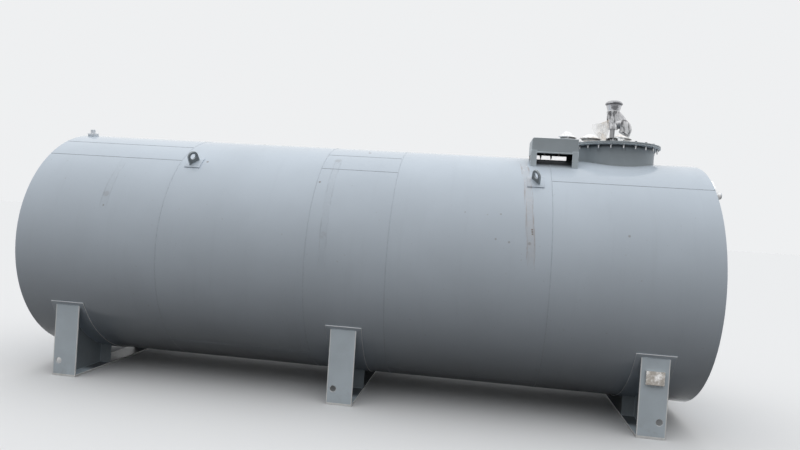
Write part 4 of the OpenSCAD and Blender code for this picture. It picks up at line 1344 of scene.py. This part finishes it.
class TANK_OT_hood_rail(bpy.types.Operator):
    """Wraps the rail in the hood with white film that leaves two gaps"""

    bl_idname = "tank.hood_rail"
    bl_label = "Hood rail"

    # Where each sleeve starts and ends, as shares of the rail, and how far its ends are cut back in metres
    SLEEVES = ((0.0, 0.11, -0.010, 0.004), (0.13, 0.47, 0.004, 0.004), (0.49, 1.0, 0.004, 0.0))
    GRIP, SKIN = 0.0004, 0.0010

    def execute(self, context):
        steel = bare_metal("rail_steel", (0.20, 0.20, 0.20), 0.35, 0.6, (0.3, 1.0, 1.0))
        finish_nodes(("hood_rail",), steel)
        # Strong painted glow: the film on the rail shines in the dark hood as if lit
        white = packing_film("rail_film", (0.98, 0.98, 0.99), (0.90, 0.90, 0.91), rough=0.35, glow=0.85,
                             crease=0.001)
        low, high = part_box("hood_rail")
        sleeves = bmesh.new()
        for start, end, cut_start, cut_end in self.SLEEVES:
            ends = (low.x + start * (high.x - low.x) - 0.001, low.x + end * (high.x - low.x) + 0.001)
            self.sleeve(sleeves, ends, (cut_start, cut_end))
        bmesh.ops.recalc_face_normals(sleeves, faces=sleeves.faces)
        mesh = bpy.data.meshes.new("rail_film_sleeves")
        sleeves.to_mesh(mesh)
        sleeves.free()
        mesh.shade_smooth()
        finish_piece(new_object("rail_film_sleeves", mesh), white, "white_film")
        return {"FINISHED"}

    def sleeve(self, bm, ends, cuts):
        """A sleeve of film whose ends are cut back towards the top."""
        low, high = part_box("hood_rail")
        r = (high.y - low.y) / 2
        axis = Vector((0, (low.y + high.y) / 2, low.z + r))
        (x0, x1), (cut_start, cut_end) = ends, cuts
        around, steps = 48, max(6, int((x1 - x0) / 0.004))
        outer, inner = [], []
        for i in range(steps + 1):
            share = i / steps
            for ring in (outer, inner):
                ring.append([])
            for a in turn_angles(around):
                open_top = 1.0 + math.sin(a - 0.5)
                x = x0 + cut_start * open_top * (1 - share) + (x1 - x0 - cut_end * open_top * share) * share
                direction = Vector((0, math.cos(a), math.sin(a)))
                fold = noise.noise(Vector((x * 60, math.cos(a) * 2, math.sin(a) * 2)))
                spot = axis + Vector((x, 0, 0))
                reach = r + self.GRIP + self.SKIN + 0.0022 * max(-0.4, fold)
                outer[-1].append(bm.verts.new(spot + direction * reach))
                inner[-1].append(bm.verts.new(spot + direction * (r + self.GRIP)))
        pairs = [(j, (j + 1) % around) for j in range(around)]
        for i in range(steps):
            for j, k in pairs:
                bm.faces.new((outer[i][j], outer[i][k], outer[i + 1][k], outer[i + 1][j]))
                bm.faces.new((inner[i][k], inner[i][j], inner[i + 1][j], inner[i + 1][k]))
        for i in (0, steps):
            for j, k in pairs:
                bm.faces.new((outer[i][k], outer[i][j], inner[i][j], inner[i][k]))


class TANK_OT_name_plate(bpy.types.Operator):
    """Fixes the bare plate on its holder and covers it with crumpled film"""

    bl_idname = "tank.name_plate"
    bl_label = "Plate and its film"

    def execute(self, context):
        film = context.scene.tank_film
        steel = bare_metal("plate_steel", (0.74, 0.73, 0.71), 0.25, 0.45, (0.2, 1.0, 1.0), 90.0)
        for node in ("plate_holder", "name_plate"):
            finish_piece(round_edges(node, 0.0006), steel, "stainless", node)
        # Painted highlights: the white second tone marks glints on the dark film, with a painted glow
        cover = packing_film("plate_film", (0.46, 0.43, 0.39), (1.0, 1.0, 1.0), clear=0.15, tint_scale=20.0,
                             rough=0.14, glow=0.28, crease=0.003)
        finish_piece(self.crumpled_cover(film), cover, "clear_film")
        return {"FINISHED"}

    def crumpled_cover(self, film):
        """Film over the plate, a little past its edges, with two layers and closed borders."""
        low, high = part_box("name_plate")
        cols, rows, grow = 60, 46, 0.004
        verts = []
        for layer in (0, 1):
            for i in range(rows + 1):
                for j in range(cols + 1):
                    u, v = j / cols, i / rows
                    x = low.x - grow + (high.x - low.x + 2 * grow) * u
                    z = low.z - grow + (high.z - low.z + 2 * grow) * v
                    place = Vector((x * 22, 0, z * 22))
                    crumple = abs(noise.noise(place)) + 0.5 * abs(moved_noise(place * 2.3, 9, 0, 3))
                    edge = min(1.0, min(u, 1 - u, v, 1 - v) / 0.06)
                    y = low.y - 0.0010 - 0.0085 * crumple * (0.3 + 0.7 * edge) - layer * film.thickness
                    verts.append((x, y, z))
        width, sheet = cols + 1, (cols + 1) * (rows + 1)
        faces = sheet_faces(rows, cols)
        faces += [tuple(a + sheet for a in face) for face in sheet_faces(rows, cols, turned=True)]
        border = list(range(width)) + [i * width + cols for i in range(1, rows + 1)]
        border += [rows * width + j for j in reversed(range(cols))]
        border += [i * width for i in reversed(range(1, rows))]
        faces += [(a, b, b + sheet, a + sheet) for a, b in zip(border, border[1:] + border[:1])]
        piece = mesh_object("plate_film_cover", verts, faces)
        outward(piece.data)
        return piece


# Stage


# Place and turn of the camera, fitted to the rims and the saddles, in metres and radians
CAMERA_PLACE = (1.223, -6.743, 1.797)
CAMERA_YAW, CAMERA_PITCH, CAMERA_ROLL = -0.1308, -0.0091, 0.0663
FLOOR_HALF = 120.0


class TANK_OT_stage(bpy.types.Operator):
    """Sets the pale floor, the soft light and the camera"""

    bl_idname = "tank.stage"
    bl_label = "Stage"

    def execute(self, context):
        stage = context.scene.tank_stage
        self.floor(stage)
        self.sky(context, stage)
        self.camera(context, stage)
        context.scene.view_settings.view_transform = "Standard"
        return {"FINISHED"}

    def seen_directly(self, nodes):
        """1 for rays from the camera, and for those that a mirror or a clear surface sends on."""
        path = nodes.add("ShaderNodeLightPath").outputs
        direct = nodes.calc("MAXIMUM", path["Is Camera Ray"], path["Is Glossy Ray"])
        return nodes.calc("MAXIMUM", direct, path["Is Transmission Ray"])

    def floor(self, stage):
        """Pale floor that keeps the object's shadow and sends back little light."""
        corners = [(x * FLOOR_HALF, y * FLOOR_HALF, 0) for x, y in ((-1, -1), (1, -1), (1, 1), (-1, 1))]
        floor = mesh_object("floor", corners, [(0, 1, 2, 3)], False)
        finish = Finish("pale_floor", {"Roughness": 0.9, "Specular IOR Level": 0.0})
        tone = finish.mix(self.seen_directly(finish), tuple(stage.bounce), tuple(stage.floor))
        floor.data.materials.append(finish.done(tone=tone))

    def sky(self, context, stage):
        """Soft light that gathers round the zenith, in front of a plain pale backdrop."""
        world = bpy.data.worlds.new("Soft sky")
        context.scene.world = world
        world.use_nodes = True
        nodes = Nodes(world.node_tree)
        height = nodes.split(nodes.add("ShaderNodeTexCoord").outputs["Generated"])[2]
        raised = nodes.calc("POWER", nodes.calc("MAXIMUM", height, 0.0), stage.gather)
        light = nodes.fade(raised, 0.0, 1.0, stage.horizon, stage.zenith, smooth=False)
        color = nodes.mix(self.seen_directly(nodes), light, tuple(stage.backdrop))
        back = nodes.tree.nodes["Background"]
        nodes.link(color, back.inputs["Color"])
        back.inputs["Strength"].default_value = 1.0

    def camera(self, context, stage):
        """Camera at the photo's place and angle."""
        yaw, pitch, roll = CAMERA_YAW, CAMERA_PITCH, CAMERA_ROLL
        ahead = Vector((math.sin(yaw) * math.cos(pitch), math.cos(yaw) * math.cos(pitch), math.sin(pitch)))
        side = Vector((math.cos(yaw), -math.sin(yaw), 0.0))
        up = side.cross(ahead)
        right = side * math.cos(roll) + up * math.sin(roll)
        top = -side * math.sin(roll) + up * math.cos(roll)
        data = bpy.data.cameras.new("Camera")
        data.sensor_width = 36.0
        data.sensor_fit = "HORIZONTAL"
        data.lens = stage.lens
        data.clip_end = 500.0
        camera = new_object("Camera", data)
        turn = Matrix((right, top, -ahead)).transposed().to_4x4()
        camera.matrix_world = Matrix.Translation(CAMERA_PLACE) @ turn
        context.scene.camera = camera


# Panel and registration


OPERATORS = (
    TANK_OT_enamel, TANK_OT_welds, TANK_OT_bolts, TANK_OT_nozzle_wraps, TANK_OT_breather, TANK_OT_hood_rail,
    TANK_OT_name_plate, TANK_OT_stage,
)
SETTINGS = {
    "tank_paint": TankPaintSettings, "tank_welds": TankWeldSettings, "tank_bolts": TankBoltSettings,
    "tank_film": TankFilmSettings, "tank_stage": TankStageSettings,
}


class TANK_PT_panel(bpy.types.Panel):
    """Lists the steps that dress the tank, with their sizes and colours"""

    bl_idname = "TANK_PT_panel"
    bl_label = "Storage tank"
    bl_space_type = "VIEW_3D"
    bl_region_type = "UI"
    bl_category = "Storage tank"

    def draw(self, context):
        for operator in OPERATORS:
            self.layout.operator(operator.bl_idname)
        for key, group in SETTINGS.items():
            box = self.layout.box()
            box.label(text=group.__doc__.rstrip("."))
            for name in group.__annotations__:
                box.prop(getattr(context.scene, key), name)


CLASSES = (*SETTINGS.values(), *OPERATORS, TANK_PT_panel)


def register():
    for cls in CLASSES:
        bpy.utils.register_class(cls)
    for key, group in SETTINGS.items():
        setattr(bpy.types.Scene, key, bpy.props.PointerProperty(type=group))


def unregister():
    for key in SETTINGS:
        delattr(bpy.types.Scene, key)
    for cls in reversed(CLASSES):
        bpy.utils.unregister_class(cls)


def main():
    register()
    for operator in OPERATORS:
        group, name = operator.bl_idname.split(".")
        getattr(getattr(bpy.ops, group), name)()


if __name__ == "__main__":
    main()
